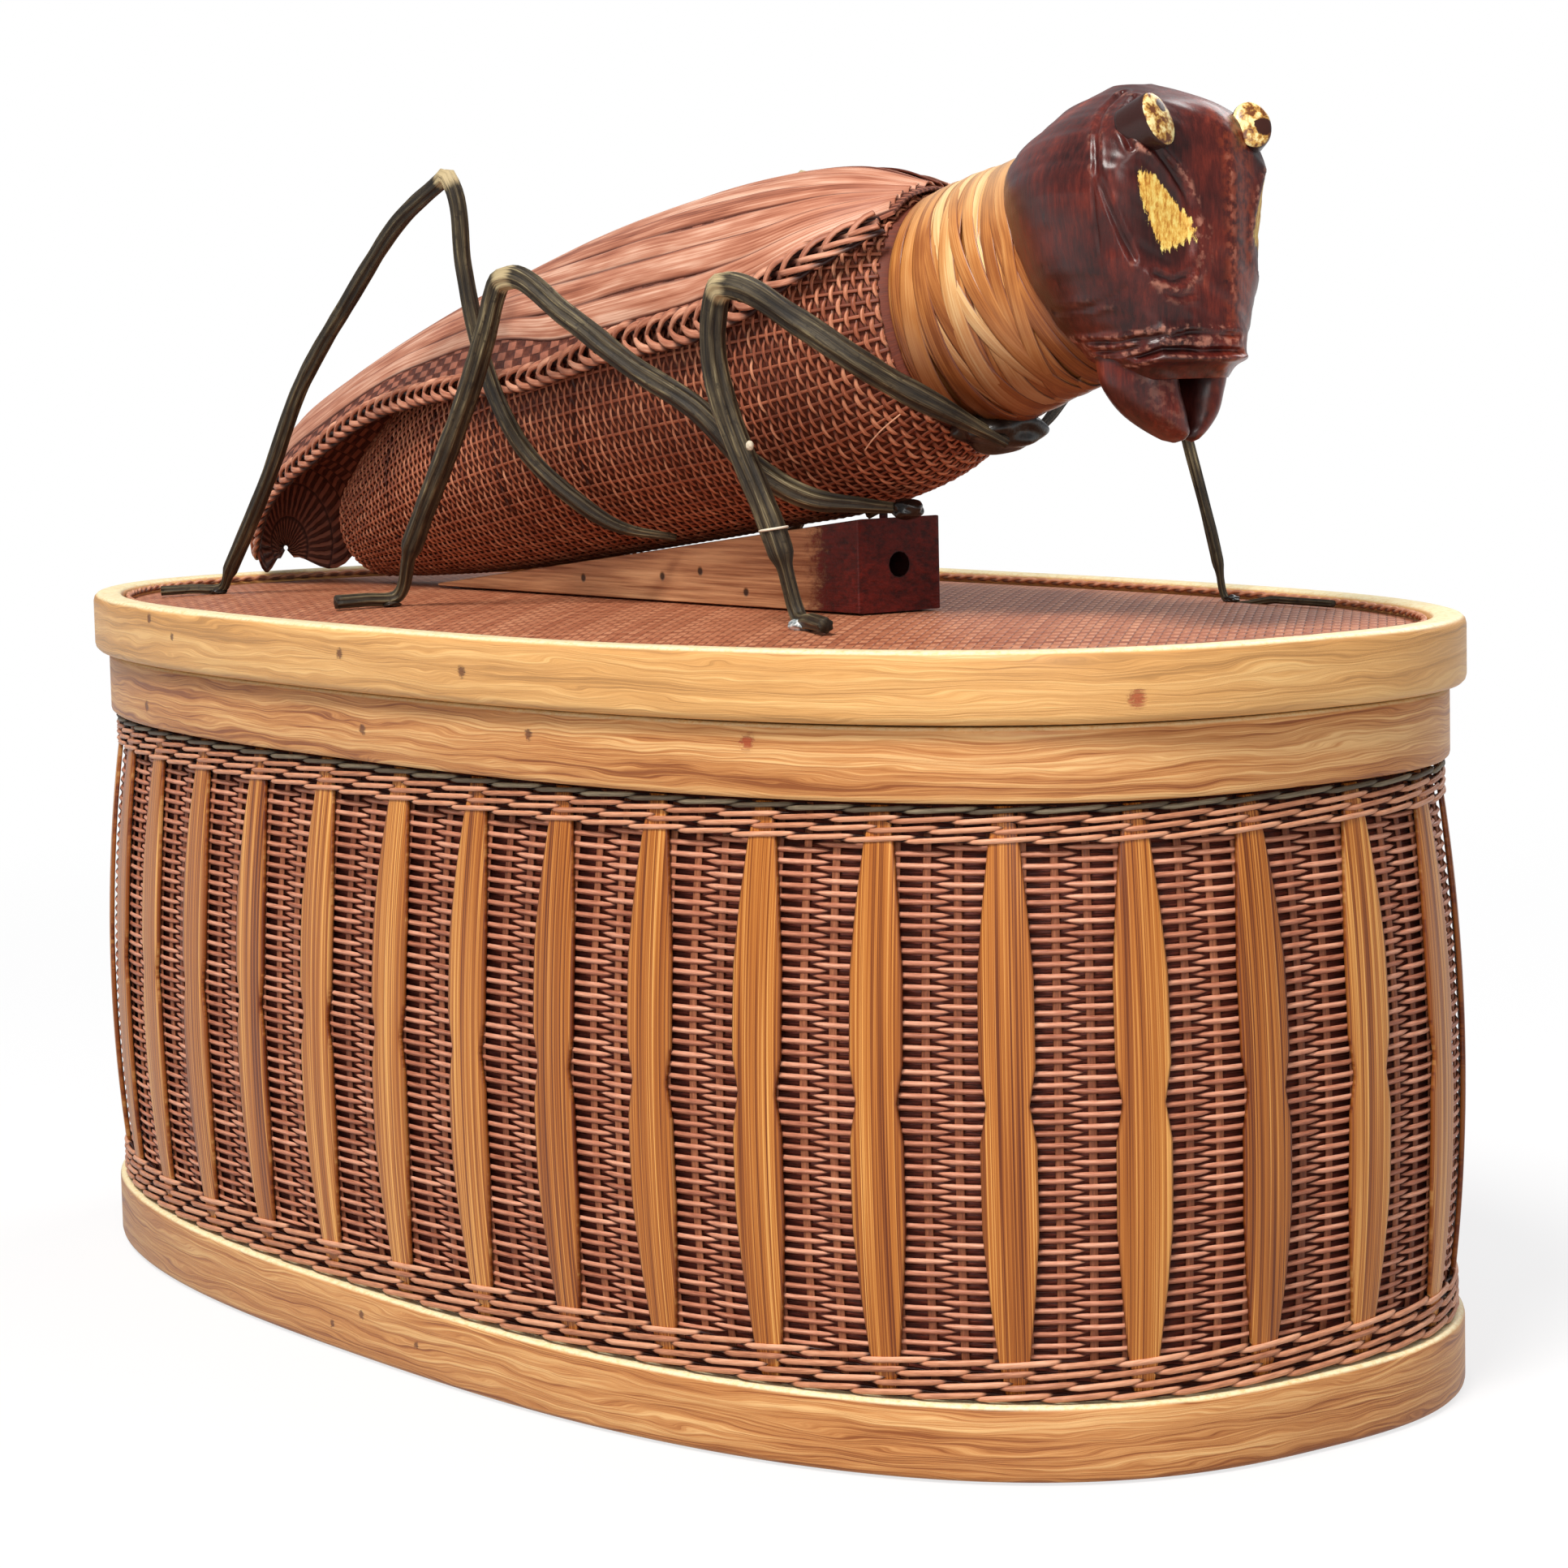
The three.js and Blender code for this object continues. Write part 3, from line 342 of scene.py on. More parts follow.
def hoop_finish():
    look = Finish("hoop_bamboo", 0.42, coat=0.1)
    x, y, z = look.axes("Object")
    wave = look.noise(x * 0.035, y * 0.035, z * 0.2, detail=2)
    level = z + wave * 5
    broad = look.noise(x * 0.01, y * 0.01, level * 0.5)
    fine = look.noise(x * 0.03, y * 0.03, level * 3.0, detail=5, rough=0.7)
    golden = look.ramp(
        fine * 0.55 + broad * 0.45, (0.4, 146, 82, 38), (0.46, 190, 124, 68),
        (0.53, 214, 152, 92), (0.61, 238, 188, 126))
    golden = look.mix(z.between(117.4, 117.6) * 0.32, golden, (255, 206, 128))
    shaded = z.between(12, 30, 1, 0) * x.between(-150, 10, 1, 0) * y.between(-30, 0, 1, 0)
    golden = look.mix(shaded * 0.35, golden, (116, 62, 34))
    # Painted highlight: a pale cream band along the top edge of each hoop
    edge = sum((z - top + wave * 0.4).between(-0.6, -0.1) * (z - top).between(0.1, 0.25, 1, 0)
               for top in (base_top, rim_top, lid_top))
    ragged = look.noise(x * 0.9, y * 0.9, z * 1.4, detail=4, rough=0.75)
    golden = look.mix(edge * 0.9, golden, look.ramp(
        ragged, (0.3, 240, 206, 140), (0.55, 255, 244, 200)))
    marks = 0
    for place, radius in (
            ((-58.1, -82.2, 124), 0.7), ((6.2, -84.7, 124.2), 0.9), ((43.5, -83.5, 123), 0.9),
            ((-69.6, -80.7, 126.8), 0.9), ((57, -79.6, 113.2), 0.8), ((8.4, -82, 111), 0.9),
            ((-80.3, -76.1, 109.5), 1.0), ((4.8, -83.9, 7.8), 0.7), ((-5.4, -83.9, 4.5), 0.6),
            ((22.5, -83.7, 5.5), 0.6)):
        stray = (x + fine * 2, y, z + ragged * 2)
        marks = marks + spot(look, stray, (place[0] + 1, place[1], place[2] + 1), radius)
    golden = look.mix(marks.least(1) * 0.8, golden, (92, 44, 22))
    torn = (x + ragged * 7, y, z + fine * 4)
    chips = spot(look, torn, (157.8, -33.1, 123.3), 1.3) + spot(look, torn, (107.5, -69.7, 116.3), 1.1)
    golden = look.mix(chips.least(1) * 0.8, golden, (164, 62, 34))
    look.colour(golden)
    look.roughness(fine * 0.3 + 0.32)
    look.bump(fine * 0.7 + broad * 0.5 - marks * 0.8 - chips * 0.6, 0.4, 0.6)
    return look


hoop_bamboo = hoop_finish()


def bent_hoop(name, outer, thickness, bottom, top, radius, steps=288, sides=24, waver=0.12):
    """A strip bent round the oval: its face and edges waver a little"""
    def place(k, u, v):
        across, up = rounded(v, thickness / 2, (top - bottom) / 2, radius)
        arc = u * perimeter
        closing = np.sin(u * pi) ** 0.25
        shift = waver * wobble(arc, bottom, 190) * closing
        lift = waver * wobble(arc, bottom + 5, 260) * closing * (up > 0)
        x, y = oval(u % 1, outer - thickness / 2 + across - waver + shift * (across > 0))
        return (x, y, (top + bottom) / 2 + up - waver * (up > 0) + lift), {"u": arc, "v": up}
    return strands(name, 1, steps, sides, place, closed=True)


for body, hoop, *sizes in (
        ("basket", "base_hoop", base_inset, hoop_thickness, 0, base_top, 0.9),
        ("basket", "rim_hoop", rim_inset, hoop_thickness, rim_bottom, rim_top, 0.9),
        ("lid", "lid_hoop", 0, 6.0, lid_bottom, lid_top, 1.5)):
    dress(bent_hoop(hoop + "_bamboo", *sizes), hoop_bamboo, body, "hoop_bamboo", hoop)

# Woven wall

wall = ("basket", "weave_bamboo", "basket_wall")
stake_count = 144
stake_pitch = 5.69
row_pitch = 0.93
row_bottom = 18.9
row_top = 99.3
row_count = round((row_top - row_bottom) / row_pitch)


def strand_finish(name, light, middle, dark, shadow, roughness=0.5):
    """A split strand: streaks along it, a tone of its own, and painted shade (the shadow colour) where it
    dives under
    """
    look = Finish(name, roughness)
    u, v, _ = look.axes("UV")
    own = look.own("shade")
    dive = look.own("dive")
    fibre = look.noise(u * 0.35, v * 2.6, own * 31)
    tone = fibre * 0.7 + own * 0.3
    skin = look.ramp(tone, (0.25, *dark), (0.5, *middle), (0.75, *light))
    # Painted shade: mixes towards the shadow colour where the strand dives under another
    look.colour(look.mix(dive.between(0.3, 0.8), skin, shadow))
    look.roughness(fibre * 0.25 + (roughness - 0.12))
    look.bump(fibre, 0.12, 0.5)
    return look


weaver_bamboo = strand_finish(
    "weaver_bamboo", (230, 168, 138), (192, 124, 96), (142, 80, 58), (64, 22, 13), 0.42)
stake_bamboo = strand_finish(
    "stake_bamboo", (168, 104, 70), (128, 72, 46), (92, 46, 28), (60, 26, 18), 0.6)
band_bamboo = strand_finish(
    "band_bamboo", (230, 172, 138), (200, 136, 102), (150, 92, 66), (48, 18, 12), 0.45)
# Painted shade: a darker, greyer copy of the band's strands for the top row, which lies in shadow under the
# rim hoop
shaded_band_bamboo = strand_finish(
    "shaded_band_bamboo", (142, 128, 104), (100, 88, 70), (68, 54, 42), (30, 16, 12), 0.55)


def weaver_rows(name, first, count):
    shades = chance.random(count)
    heights = chance.normal(0, 0.05, count)

    def place(k, u, v):
        row = first + k
        z = row_bottom + (row + 0.5) * row_pitch + heights[k]
        wave = np.sin(2 * pi * slat_count * u) * (2 * (row % 2) - 1)
        wave = np.sign(wave) * np.abs(wave) ** 0.6
        full = eased(wave, -0.75, 0.45)
        high = 0.07 + 0.36 * full
        angle = v * 2 * pi
        z = z + high * np.sin(angle)
        x, y = oval(u % 1, weave_face(z) - 0.8 + 0.44 * wave + (0.1 + 0.2 * full) * np.cos(angle))
        return (x, y, z), {"u": u * perimeter, "v": v * 3, "shade": shades[k], "dive": 0.75 - 0.75 * full}
    return strands(name, count, slat_count * 16, 4, place, closed=True)


third = row_count // 3
for part, (first, count) in enumerate(((0, third), (third, third), (2 * third, row_count - 2 * third))):
    name = ("lower", "middle", "upper")[part] + "_weavers"
    dress(weaver_rows(name, first, count), weaver_bamboo, *wall)


def stakes():
    shades = chance.random(stake_count)

    def place(k, u, v):
        z = 12.8 + u * 92
        across, out = rounded(v, 0.75, 0.2, 0.15)
        share = (k + 0.5) / stake_count + across / perimeter
        x, y = oval(share % 1, weave_face(z) - 0.75 + out)
        return (x, y, z), {"u": z, "v": across, "shade": shades[k], "dive": 0}
    return strands("wall_stakes", stake_count, 24, 8, place)


dress(stakes(), stake_bamboo, *wall)


def wall_lining(k, u, v):
    """The wall behind the strands, seen from inside the basket and through the gaps, painted dark for the
    shade in the gaps
    """
    side, level = rounded(v, 0.4, 57.2, 0.3)
    z = 59.1 + level
    depth = np.interp(z, [1.5, 12.3, 105.3, 116.2], [-6.9, -4.2, -6.2, -9.0])
    face = np.where((z > 12.3) & (z < 105.3), weave_face(z) - 1.95, depth - 0.3)
    x, y = oval(u % 1, face + side)
    return (x, y, z), {"u": u * perimeter, "v": z, "shade": 0.5, "dive": 0}


def wall_lining_shade_finish():
    look = Finish("wall_lining_shade", 0.7)
    x, y, z = look.axes("Object")
    u = look.axes("UV")[0]
    fibre = look.noise(x * 0.4, y * 0.4, z * 2.2)
    rows = (z * (pi / row_pitch)).sine() * (u * (pi / stake_pitch)).sine()
    # Painted shade: the lining is dark to stand for the shade seen through the gaps between the strands
    look.colour(look.ramp(
        fibre * 0.6 + rows * 0.2 + 0.1, (0.25, 58, 18, 10), (0.5, 92, 34, 20), (0.75, 124, 58, 36)))
    look.bump(rows + fibre, 0.4, 0.7)
    return look


dress(strands("wall_lining", 1, 216, 96, wall_lining, closed=True), wall_lining_shade_finish(), *wall)


def slat_half_width(z):
    """Widest between the shoulders, nipped at the waist, narrow under the bands"""
    far = np.abs(z - slat_middle)
    plain = np.interp(far, [0.5 * slat_half, 0.76 * slat_half, slat_half, 46], [4.75, 3.9, 2.8, 1.6])
    return plain - 1.1 * np.clip(1 - far / 6, 0, 1)


def slats():
    shades = chance.random(slat_count)
    lean = chance.normal(0, 0.25, slat_count)

    def place(k, u, v):
        bends = [12.9, slat_bottom, 29.5, 39.2, 53.1, slat_middle, 65.1, 79, 88.8, slat_top, 104.9]
        z = np.interp(u, np.linspace(0, 1, 41), np.interp(np.linspace(0, 10, 41), np.arange(11), bends))
        across, out = rounded(v, 1, 1, 0.25)
        half = slat_half_width(z)
        side = across * half + lean[k] * (z - slat_middle) / slat_half
        share = (2 * k + 1) / (2 * slat_count) + side / perimeter
        x, y = oval(share % 1, weave_face(z) + 0.52 + out * 0.44 - 0.12 * across ** 2)
        return (x, y, z), {"u": z, "v": across * half + k * 17, "shade": shades[k],
                           "rim": np.abs(across)}
    return strands("waisted_slats", slat_count, 40, 16, place)


def slat_finish():
    look = Finish("slat_bamboo", 0.4, coat=0.1)
    u, v, _ = look.axes("UV")
    own = look.own("shade")
    rim = look.own("rim")
    broad = look.noise(u * 0.008, v * 0.6, own * 19, detail=2)
    fine = look.noise(u * 0.006, v * 3.4, own * 7, rough=0.8)
    skin = look.ramp(
        broad * 0.35 + fine * 0.6 + own * 0.05, (0.4, 104, 46, 12), (0.46, 162, 90, 32),
        (0.53, 194, 120, 50), (0.6, 240, 178, 100))
    look.colour(look.mix(rim.between(0.88, 1.0) * 0.6, skin, (104, 46, 18)))
    look.roughness(fine * 0.3 + 0.28)
    look.bump(fine * 0.6 + broad, 0.25, 0.45)
    return look


dress(slats(), slat_finish(), "basket", "slat_bamboo",
      *[f"slat_{i:02d}" for i in range(1, slat_count + 1)])


def twined_band(name, bottom, top, rows):
    """Rows of coarse pairs of strands that take turns outside, each sloping up as it passes over"""
    shades = chance.random(rows * 2)
    pitch = (top - bottom) / rows

    def place(k, u, v):
        row = k // 2
        phase = (u * slat_count + 0.5 * (k % 2) + 0.31 * row) % 1
        over = eased(np.cos(2 * pi * (phase - 0.5)), -0.62, 0.35)
        slope = np.interp(phase, [0, 0.16, 0.84, 1], [0, -0.28, 0.28, 0]) * pitch
        angle = v * 2 * pi
        z = bottom + (row + 0.5) * pitch + slope + (0.07 + 0.23 * over) * pitch * np.sin(angle)
        z = np.clip(z, bottom - 0.2, top + 0.2)
        depth = hoop_line(z) - 1.75 + 0.9 * (over - 0.6) + 0.38 * np.cos(angle)
        x, y = oval(u % 1, depth)
        return (x, y, z), {"u": u * perimeter, "v": v * 4, "shade": shades[k], "dive": 1 - over}
    return strands(name, rows * 2, slat_count * 16, 6, place, closed=True)


dress(twined_band("top_twining", 99.0, 103.6, 3), band_bamboo, *wall)
# The top row of the twining, in painted shade under the rim hoop
dress(twined_band("shaded_twining_row", 103.6, 105.1, 1), shaded_band_bamboo, *wall)
dress(twined_band("bottom_twining", 12.4, 19.3, 4), band_bamboo, *wall)

# Pieces inside, kept as the CAD has them


def repaint(finish, *nodes):
    for node in nodes:
        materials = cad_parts[node].data.materials
        materials.clear()
        materials.append(finish.material)


repaint(hoop_bamboo, "base_lining", "mouth_collar", "lid_lining")


def twill_finish(name, width, light, middle, dark):
    """Twill of strips that run slantwise both ways: each passes over two and under two"""
    look = Finish(name, 0.48)
    x, y, z = look.axes("Object")
    slant = 0.7071 / width
    a = (x + y) * slant
    b = (x - y) * slant
    turn = (a.floor() + b.floor()) % 4
    over = turn.between(1.4, 1.6)
    edge_a = abs((a % 1) - 0.5) * 2
    edge_b = abs((b % 1) - 0.5) * 2
    edge = edge_a * over + edge_b * (1 - over)
    fibre_a = look.noise(a * 6, b * 0.5, z)
    fibre_b = look.noise(a * 0.5, b * 6, z + 9)
    fibre = fibre_a * over + fibre_b * (1 - over)
    strip = look.noise(a.floor() * over + b.floor() * (1 - over), over * 7, 0.5, scale=3.1, detail=0)
    tone = fibre * 0.55 + strip * 0.4 + over * 0.05
    skin = look.ramp(tone, (0.3, *dark), (0.5, *middle), (0.7, *light))
    look.colour(look.mix(edge.between(0.72, 1.0) * 0.85, skin, (62, 24, 16)))
    look.roughness(fibre * 0.25 + 0.36)
    look.bump((1 - edge ** 3) + fibre * 0.3, 0.3, 0.8)
    return look


mat_bamboo = twill_finish("mat_bamboo", 1.5, (222, 156, 118), (188, 116, 82), (142, 72, 46))
floor_mat = twill_finish("floor_mat", 3.2, (190, 128, 84), (158, 98, 62), (118, 66, 42))
repaint(floor_mat, "basket_floor")


def panel_height(share):
    return 126.7 + 1.6 * (1 - share ** 4)


def lid_mat(k, u, v):
    share = np.clip(1 - np.abs(v - 0.5) * 2 * 1.02 + 0.02, 0, 1)
    share = np.where((v < 0.01) | (v > 0.99), 0, share)
    x, y = oval(u % 1, -6.4)
    x = x * share
    y = y * share
    z = panel_height(share) - np.where(v < 0.5, 1.75, 0) - 0.02
    return (x, y, z), {"u": x, "v": y}


dress(strands("lid_mat", 1, 144, 61, lid_mat, closed=True), mat_bamboo, "lid", "mat_bamboo", "lid_panel")


def bead_strands():
    """Two thin strands laid round the panel's edge, twisted about each other"""
    turns = 110

    def place(k, u, v):
        twist = (u * turns + 0.5 * k) * 2 * pi
        angle = v * 2 * pi
        x, y = oval(u % 1, -6.95 + 0.2 * np.cos(twist) + 0.36 * np.cos(angle))
        z = 127.75 + 0.32 * np.sin(twist) + 0.36 * np.sin(angle)
        return (x, y, z), {"u": u * perimeter, "v": v * 3, "shade": 0.3 + 0.4 * k,
                           "dive": 0.35 - 0.35 * np.sin(twist)}
    return strands("bead_strands", 2, turns * 6, 5, place, closed=True)


dress(bead_strands(), band_bamboo, "lid", "mat_bamboo", "lid_bead")

# Grasshopper. Its body is laid out along the block's slope: x from tail to head, z square to the slope.

belly = ("lid", "weave_bamboo", "abdomen")
wings = ("lid", "wing_strip", "wing_shell")
slope = math.radians(6.579)
slope_foot = 138.66
abdomen_tail = -121
abdomen_length = 199
abdomen_height = 59.8
abdomen_width = 55
belly_seat = 0.4
neck_length = 30


def on_lid(x, y, z):
    return (x * math.cos(slope) - z * math.sin(slope), y,
            x * math.sin(slope) + z * math.cos(slope) + slope_foot)


def smooth(stations):
    """Smooth values between stations [place, ...values]"""
    table = np.array(stations, float)
    places = table[:, 0]
    slopes = np.gradient(table[:, 1:], places, axis=0)

    def at(place):
        place = np.clip(place, places[0], places[-1])
        i = np.clip(np.searchsorted(places, place, side="right") - 1, 0, len(places) - 2)
        step = places[i + 1] - places[i]
        t = ((place - places[i]) / step)[:, None]
        low = table[i, 1:] * (1 + 2 * t) * (1 - t) ** 2 + slopes[i] * step[:, None] * t * (1 - t) ** 2
        high = table[i + 1, 1:] * t * t * (3 - 2 * t) + slopes[i + 1] * step[:, None] * t * t * (t - 1)
        return (low + high).T
    return at


neck_height = 42
neck_width = 32
neck_level = 0.535
neck_full = (neck_level, neck_height / abdomen_height, neck_width / abdomen_width)
abdomen_at = smooth([
    [0, 0.199, 0.1, 0.1], [0.02, 0.232, 0.32, 0.34], [0.065, 0.274, 0.46, 0.48],
    [0.156, 0.333, 0.625, 0.655], [0.307, 0.416, 0.829, 0.873], [0.508, 0.485, 0.965, 0.99],
    [0.709, 0.508, 0.995, 1], [0.859, 0.508, 0.96, 0.956], [0.94, 0.515, 0.86, 0.85],
    [1, *neck_full]])
wing_at = smooth([
    [-0.181, 0.21, 0.03, 0.03], [-0.16, 0.235, 0.34, 0.27], [-0.109, 0.255, 0.5, 0.49],
    [-0.0206, 0.3, 0.68, 0.71], [0.105, 0.345, 0.8, 0.87], [0.256, 0.405, 0.875, 0.96],
    [0.432, 0.465, 0.93, 1.01], [0.608, 0.5, 0.985, 1.015], [0.784, 0.513, 0.99, 1.0],
    [0.859, 0.511, 0.965, 0.965], [0.94, 0.516, 0.865, 0.858], [1, *neck_full]])
braid_at = smooth([
    [-0.164, 0.15], [-0.139, 0.19], [-0.031, 0.355], [0.105, 0.47], [0.226, 0.555], [0.4, 0.573],
    [0.56, 0.55], [0.67, 0.59], [0.81, 0.605], [0.875, 0.645], [0.95, 0.75], [1, 0.83]])


def body_skin(share, turn, grow, stations=abdomen_at):
    """Place on the body's skin: turn is 0 over the back, and grows towards its left side"""
    centre, height, width = stations(share)
    lean = math.radians(8) * eased(share, 0.86, 1)
    up = np.maximum(0.5, height * abdomen_height / 2 + grow) * np.cos(turn)
    side = np.maximum(0.5, width * abdomen_width / 2 + grow) * np.sin(turn)
    return on_lid(abdomen_tail + share * abdomen_length - up * np.sin(lean), side,
                  belly_seat + centre * abdomen_height + up * np.cos(lean))


def abdomen_core(k, u, v):
    share = 0.004 + 0.994 * u
    return body_skin(share, v * 2 * pi, -1.15), {
        "u": share * abdomen_length, "v": v * 170, "shade": 0.3, "dive": 0}


# Painted shade: the core under the belly's strands is dark, for the shade seen through the gaps between
# them
belly_gap_shade = strand_finish(
    "belly_gap_shade", (140, 68, 42), (112, 50, 30), (84, 34, 20), (40, 14, 8), 0.6)
dress(strands("abdomen_core", 1, 60, 48, abdomen_core), belly_gap_shade, *belly)
ring_count = 172
belly_stakes = 62


def abdomen_weavers(name, first, count):
    shades = chance.random(count)

    def place(k, u, v):
        ring = first + k
        turn = u * 2 * pi
        share = 0.012 + 0.98 * (ring + 0.5) / ring_count
        share = share + 0.0011 * np.sin(turn * 5 + ring * 0.35) * eased(share, 0.05, 0.2)
        wave = np.cos(pi * (belly_stakes * u + ring))
        angle = v * 2 * pi
        wave = np.sign(wave) * np.abs(wave) ** 0.6
        grow = -0.7 + 0.3 * wave + 0.26 * np.cos(angle)
        half = 0.32 + 0.06 * wave
        spot_on = body_skin(share + half * np.sin(angle) / abdomen_length, turn, grow)
        lean_line = share - 0.045 * (turn - 4.7)
        seam = sum(np.exp(-((lean_line - seat) / 0.0035) ** 2) for seat in (0.2, 0.325, 0.455, 0.6))
        seam = seam * (turn > 4) * (turn < 5.4)
        dive = 0.36 - 0.36 * wave + 0.6 * seam
        return spot_on, {"u": u * 170, "v": v * 2.4, "shade": shades[k], "dive": dive}
    return strands(name, count, belly_stakes * 3, 4, place, closed=True)


belly_weaver = strand_finish(
    "belly_weaver", (222, 156, 120), (174, 102, 72), (122, 60, 40), (54, 18, 10), 0.45)
belly_stake = strand_finish(
    "belly_stake", (176, 104, 74), (134, 72, 50), (96, 44, 28), (60, 20, 12), 0.5)
half_rings = ring_count // 2
dress(abdomen_weavers("tail_weavers", 0, half_rings), belly_weaver, *belly)
dress(abdomen_weavers("chest_weavers", half_rings, ring_count - half_rings), belly_weaver, *belly)


def abdomen_stakes():
    shades = chance.random(belly_stakes)
    half = 0.26

    def place(k, u, v):
        share = 0.014 + 0.978 * u
        across, out = rounded(v, 1, 1, 0.5)
        radius = np.maximum(abdomen_at(share)[2] * abdomen_width / 2, 4)
        turn = (k / belly_stakes) * 2 * pi + across * half / radius
        return body_skin(share, turn, 0.16 * out - 0.56), {
            "u": share * abdomen_length, "v": across * half, "shade": shades[k], "dive": 0}
    return strands("abdomen_stakes", belly_stakes, 90, 8, place)


dress(abdomen_stakes(), belly_stake, *belly)


def loose_fibre():
    """A pale fibre that stands off the belly by the near front leg"""
    foot = np.array([64.9, -14.9, 157.1])[:, None]
    tip = np.array([74.2, -14.4, 163.3])[:, None]

    def place(k, u, v):
        bow = np.sin(pi * u) * 0.8
        angle = v * 2 * pi
        p = foot + (tip - foot) * u
        return (p[0] + 0.16 * np.cos(angle), p[1] - bow, p[2] + 0.16 * np.sin(angle)), {
            "u": u * 11, "v": v, "shade": 0.9, "dive": 0}
    return strands("loose_fibre", 1, 24, 6, place)


dress(loose_fibre(), band_bamboo, "lid", "weave_bamboo")

# Folded wings: strips laid lengthwise over a dark lining, with a plait along each edge


def wing_reach(share, lift=1.2):
    """How far down each side the wings come, as a turn from the back's middle"""
    centre, height, _ = wing_at(share)
    up = (braid_at(share)[0] - centre) * abdomen_height + lift
    reach = np.arccos(np.clip(up / (height * abdomen_height / 2 + 1.5), -0.96, 0.96))
    return np.maximum(reach, 2.2 * (1 - eased(share, -0.165, -0.05)))


def wing_lining(k, u, v):
    share = -0.1805 + 1.1765 * u ** 1.6
    across, out = rounded(v, 1, 1, 0.06)
    grow = np.where(u < 0.005, -40, 0.95 + 0.3 * out)
    return body_skin(share, wing_reach(share) * across, grow, wing_at), {
        "u": share * abdomen_length, "v": across * 52}



def skirt_finish():
    """Plain weave of flat strips, seen below the lowest wing strip"""
    look = Finish("wing_skirt", 0.55)
    u, v, _ = look.axes("UV")
    weave = (u * (pi / 3.1)).sine() * (v * (pi / 2.3)).sine()
    gap = ((u / 3.1) % 1).between(0.86, 0.98) + ((v / 2.3) % 1).between(0.86, 0.98)
    fibre = look.noise(u * 0.9, v * 0.9)
    skin = look.ramp(
        fibre * 0.5 + weave.between(-0.3, 0.3) * 0.5, (0.2, 84, 40, 28), (0.45, 122, 66, 48),
        (0.7, 166, 102, 80))
    look.colour(look.mix(gap.least(1) * 0.8, skin, (50, 20, 13)))
    look.bump(weave + fibre, 0.3, 0.7)
    return look


dress(strands("wing_lining", 1, 72, 96, wing_lining), skirt_finish(), *wings)


def wing_strips():
    count = 13
    shades = chance.random(count)
    widths = chance.uniform(0.66, 0.96, count)
    slant = chance.normal(0, 0.4, count)
    starts = chance.uniform(-0.165, -0.12, count)
    seats = (np.arange(count) + 0.5) / count * 2 - 1

    def place(k, u, v):
        share = starts[k] + (0.992 - starts[k]) * u
        across, out = rounded(v, 1, 1, 0.3)
        ragged = 0.1 * wobble(share * abdomen_length, k, 70)
        spread = 0.84 + 0.12 * eased(share, 0.45, 0.7)
        middle = seats[k] * spread + (slant[k] * (share - 0.45) + ragged) / count
        half = widths[k] * spread / count * (1 + 0.16 * wobble(share * abdomen_length, k + 40, 90))
        half = half * eased(u, -0.03, 0.05)
        seat = middle + half * across
        side = np.sign(seats[k] + 1e-6)
        shingle = 0.45 * across * -side + 0.3 * (1 - across ** 2)
        grow = 1.56 + shingle + 0.2 * out
        return body_skin(share, wing_reach(share) * seat, grow, wing_at), {
            "u": share * abdomen_length, "v": across * 3 + k * 11, "shade": shades[k],
            "rim": np.abs(across)}
    return strands("wing_strips", count, 90, 16, place)


def wing_finish():
    look = Finish("wing_strip", 0.45)
    u, v, _ = look.axes("UV")
    own = look.own("shade")
    rim = look.own("rim")
    fibre = look.noise(u * 0.03, v * 2.2, own * 13, detail=4, rough=0.65)
    cloud = look.noise(u * 0.06, v * 0.4, own * 5, detail=2)
    tone = fibre * 0.42 + cloud * 0.38 + own * 0.2
    skin = look.ramp(
        tone, (0.36, 112, 58, 40), (0.46, 164, 98, 72), (0.54, 194, 130, 102),
        (0.64, 228, 180, 154))
    # Painted shade: each wing strip darkens towards its edges, for the dark gaps between the strips
    look.colour(look.mix(rim.between(0.76, 0.98) * 0.8, skin, (88, 38, 26)))
    look.roughness(fibre * 0.25 + 0.34)
    look.bump(fibre, 0.2, 0.4)
    return look


dress(wing_strips(), wing_finish(), *wings)


def braid_line(share, side):
    centre, height, width = wing_at(share)
    h = height * abdomen_height / 2 + 1.75
    w = width * abdomen_width / 2 + 1.75
    up = np.clip((braid_at(share)[0] - centre) * abdomen_height / h, -0.98, 0.98)
    flat = np.sqrt(1 - up * up)
    place = np.stack([abdomen_tail + share * abdomen_length, side * w * flat,
                      belly_seat + centre * abdomen_height + up * h])
    out = np.stack([0 * up, side * flat / w, up / h])
    return place, out / np.linalg.norm(out, axis=0)


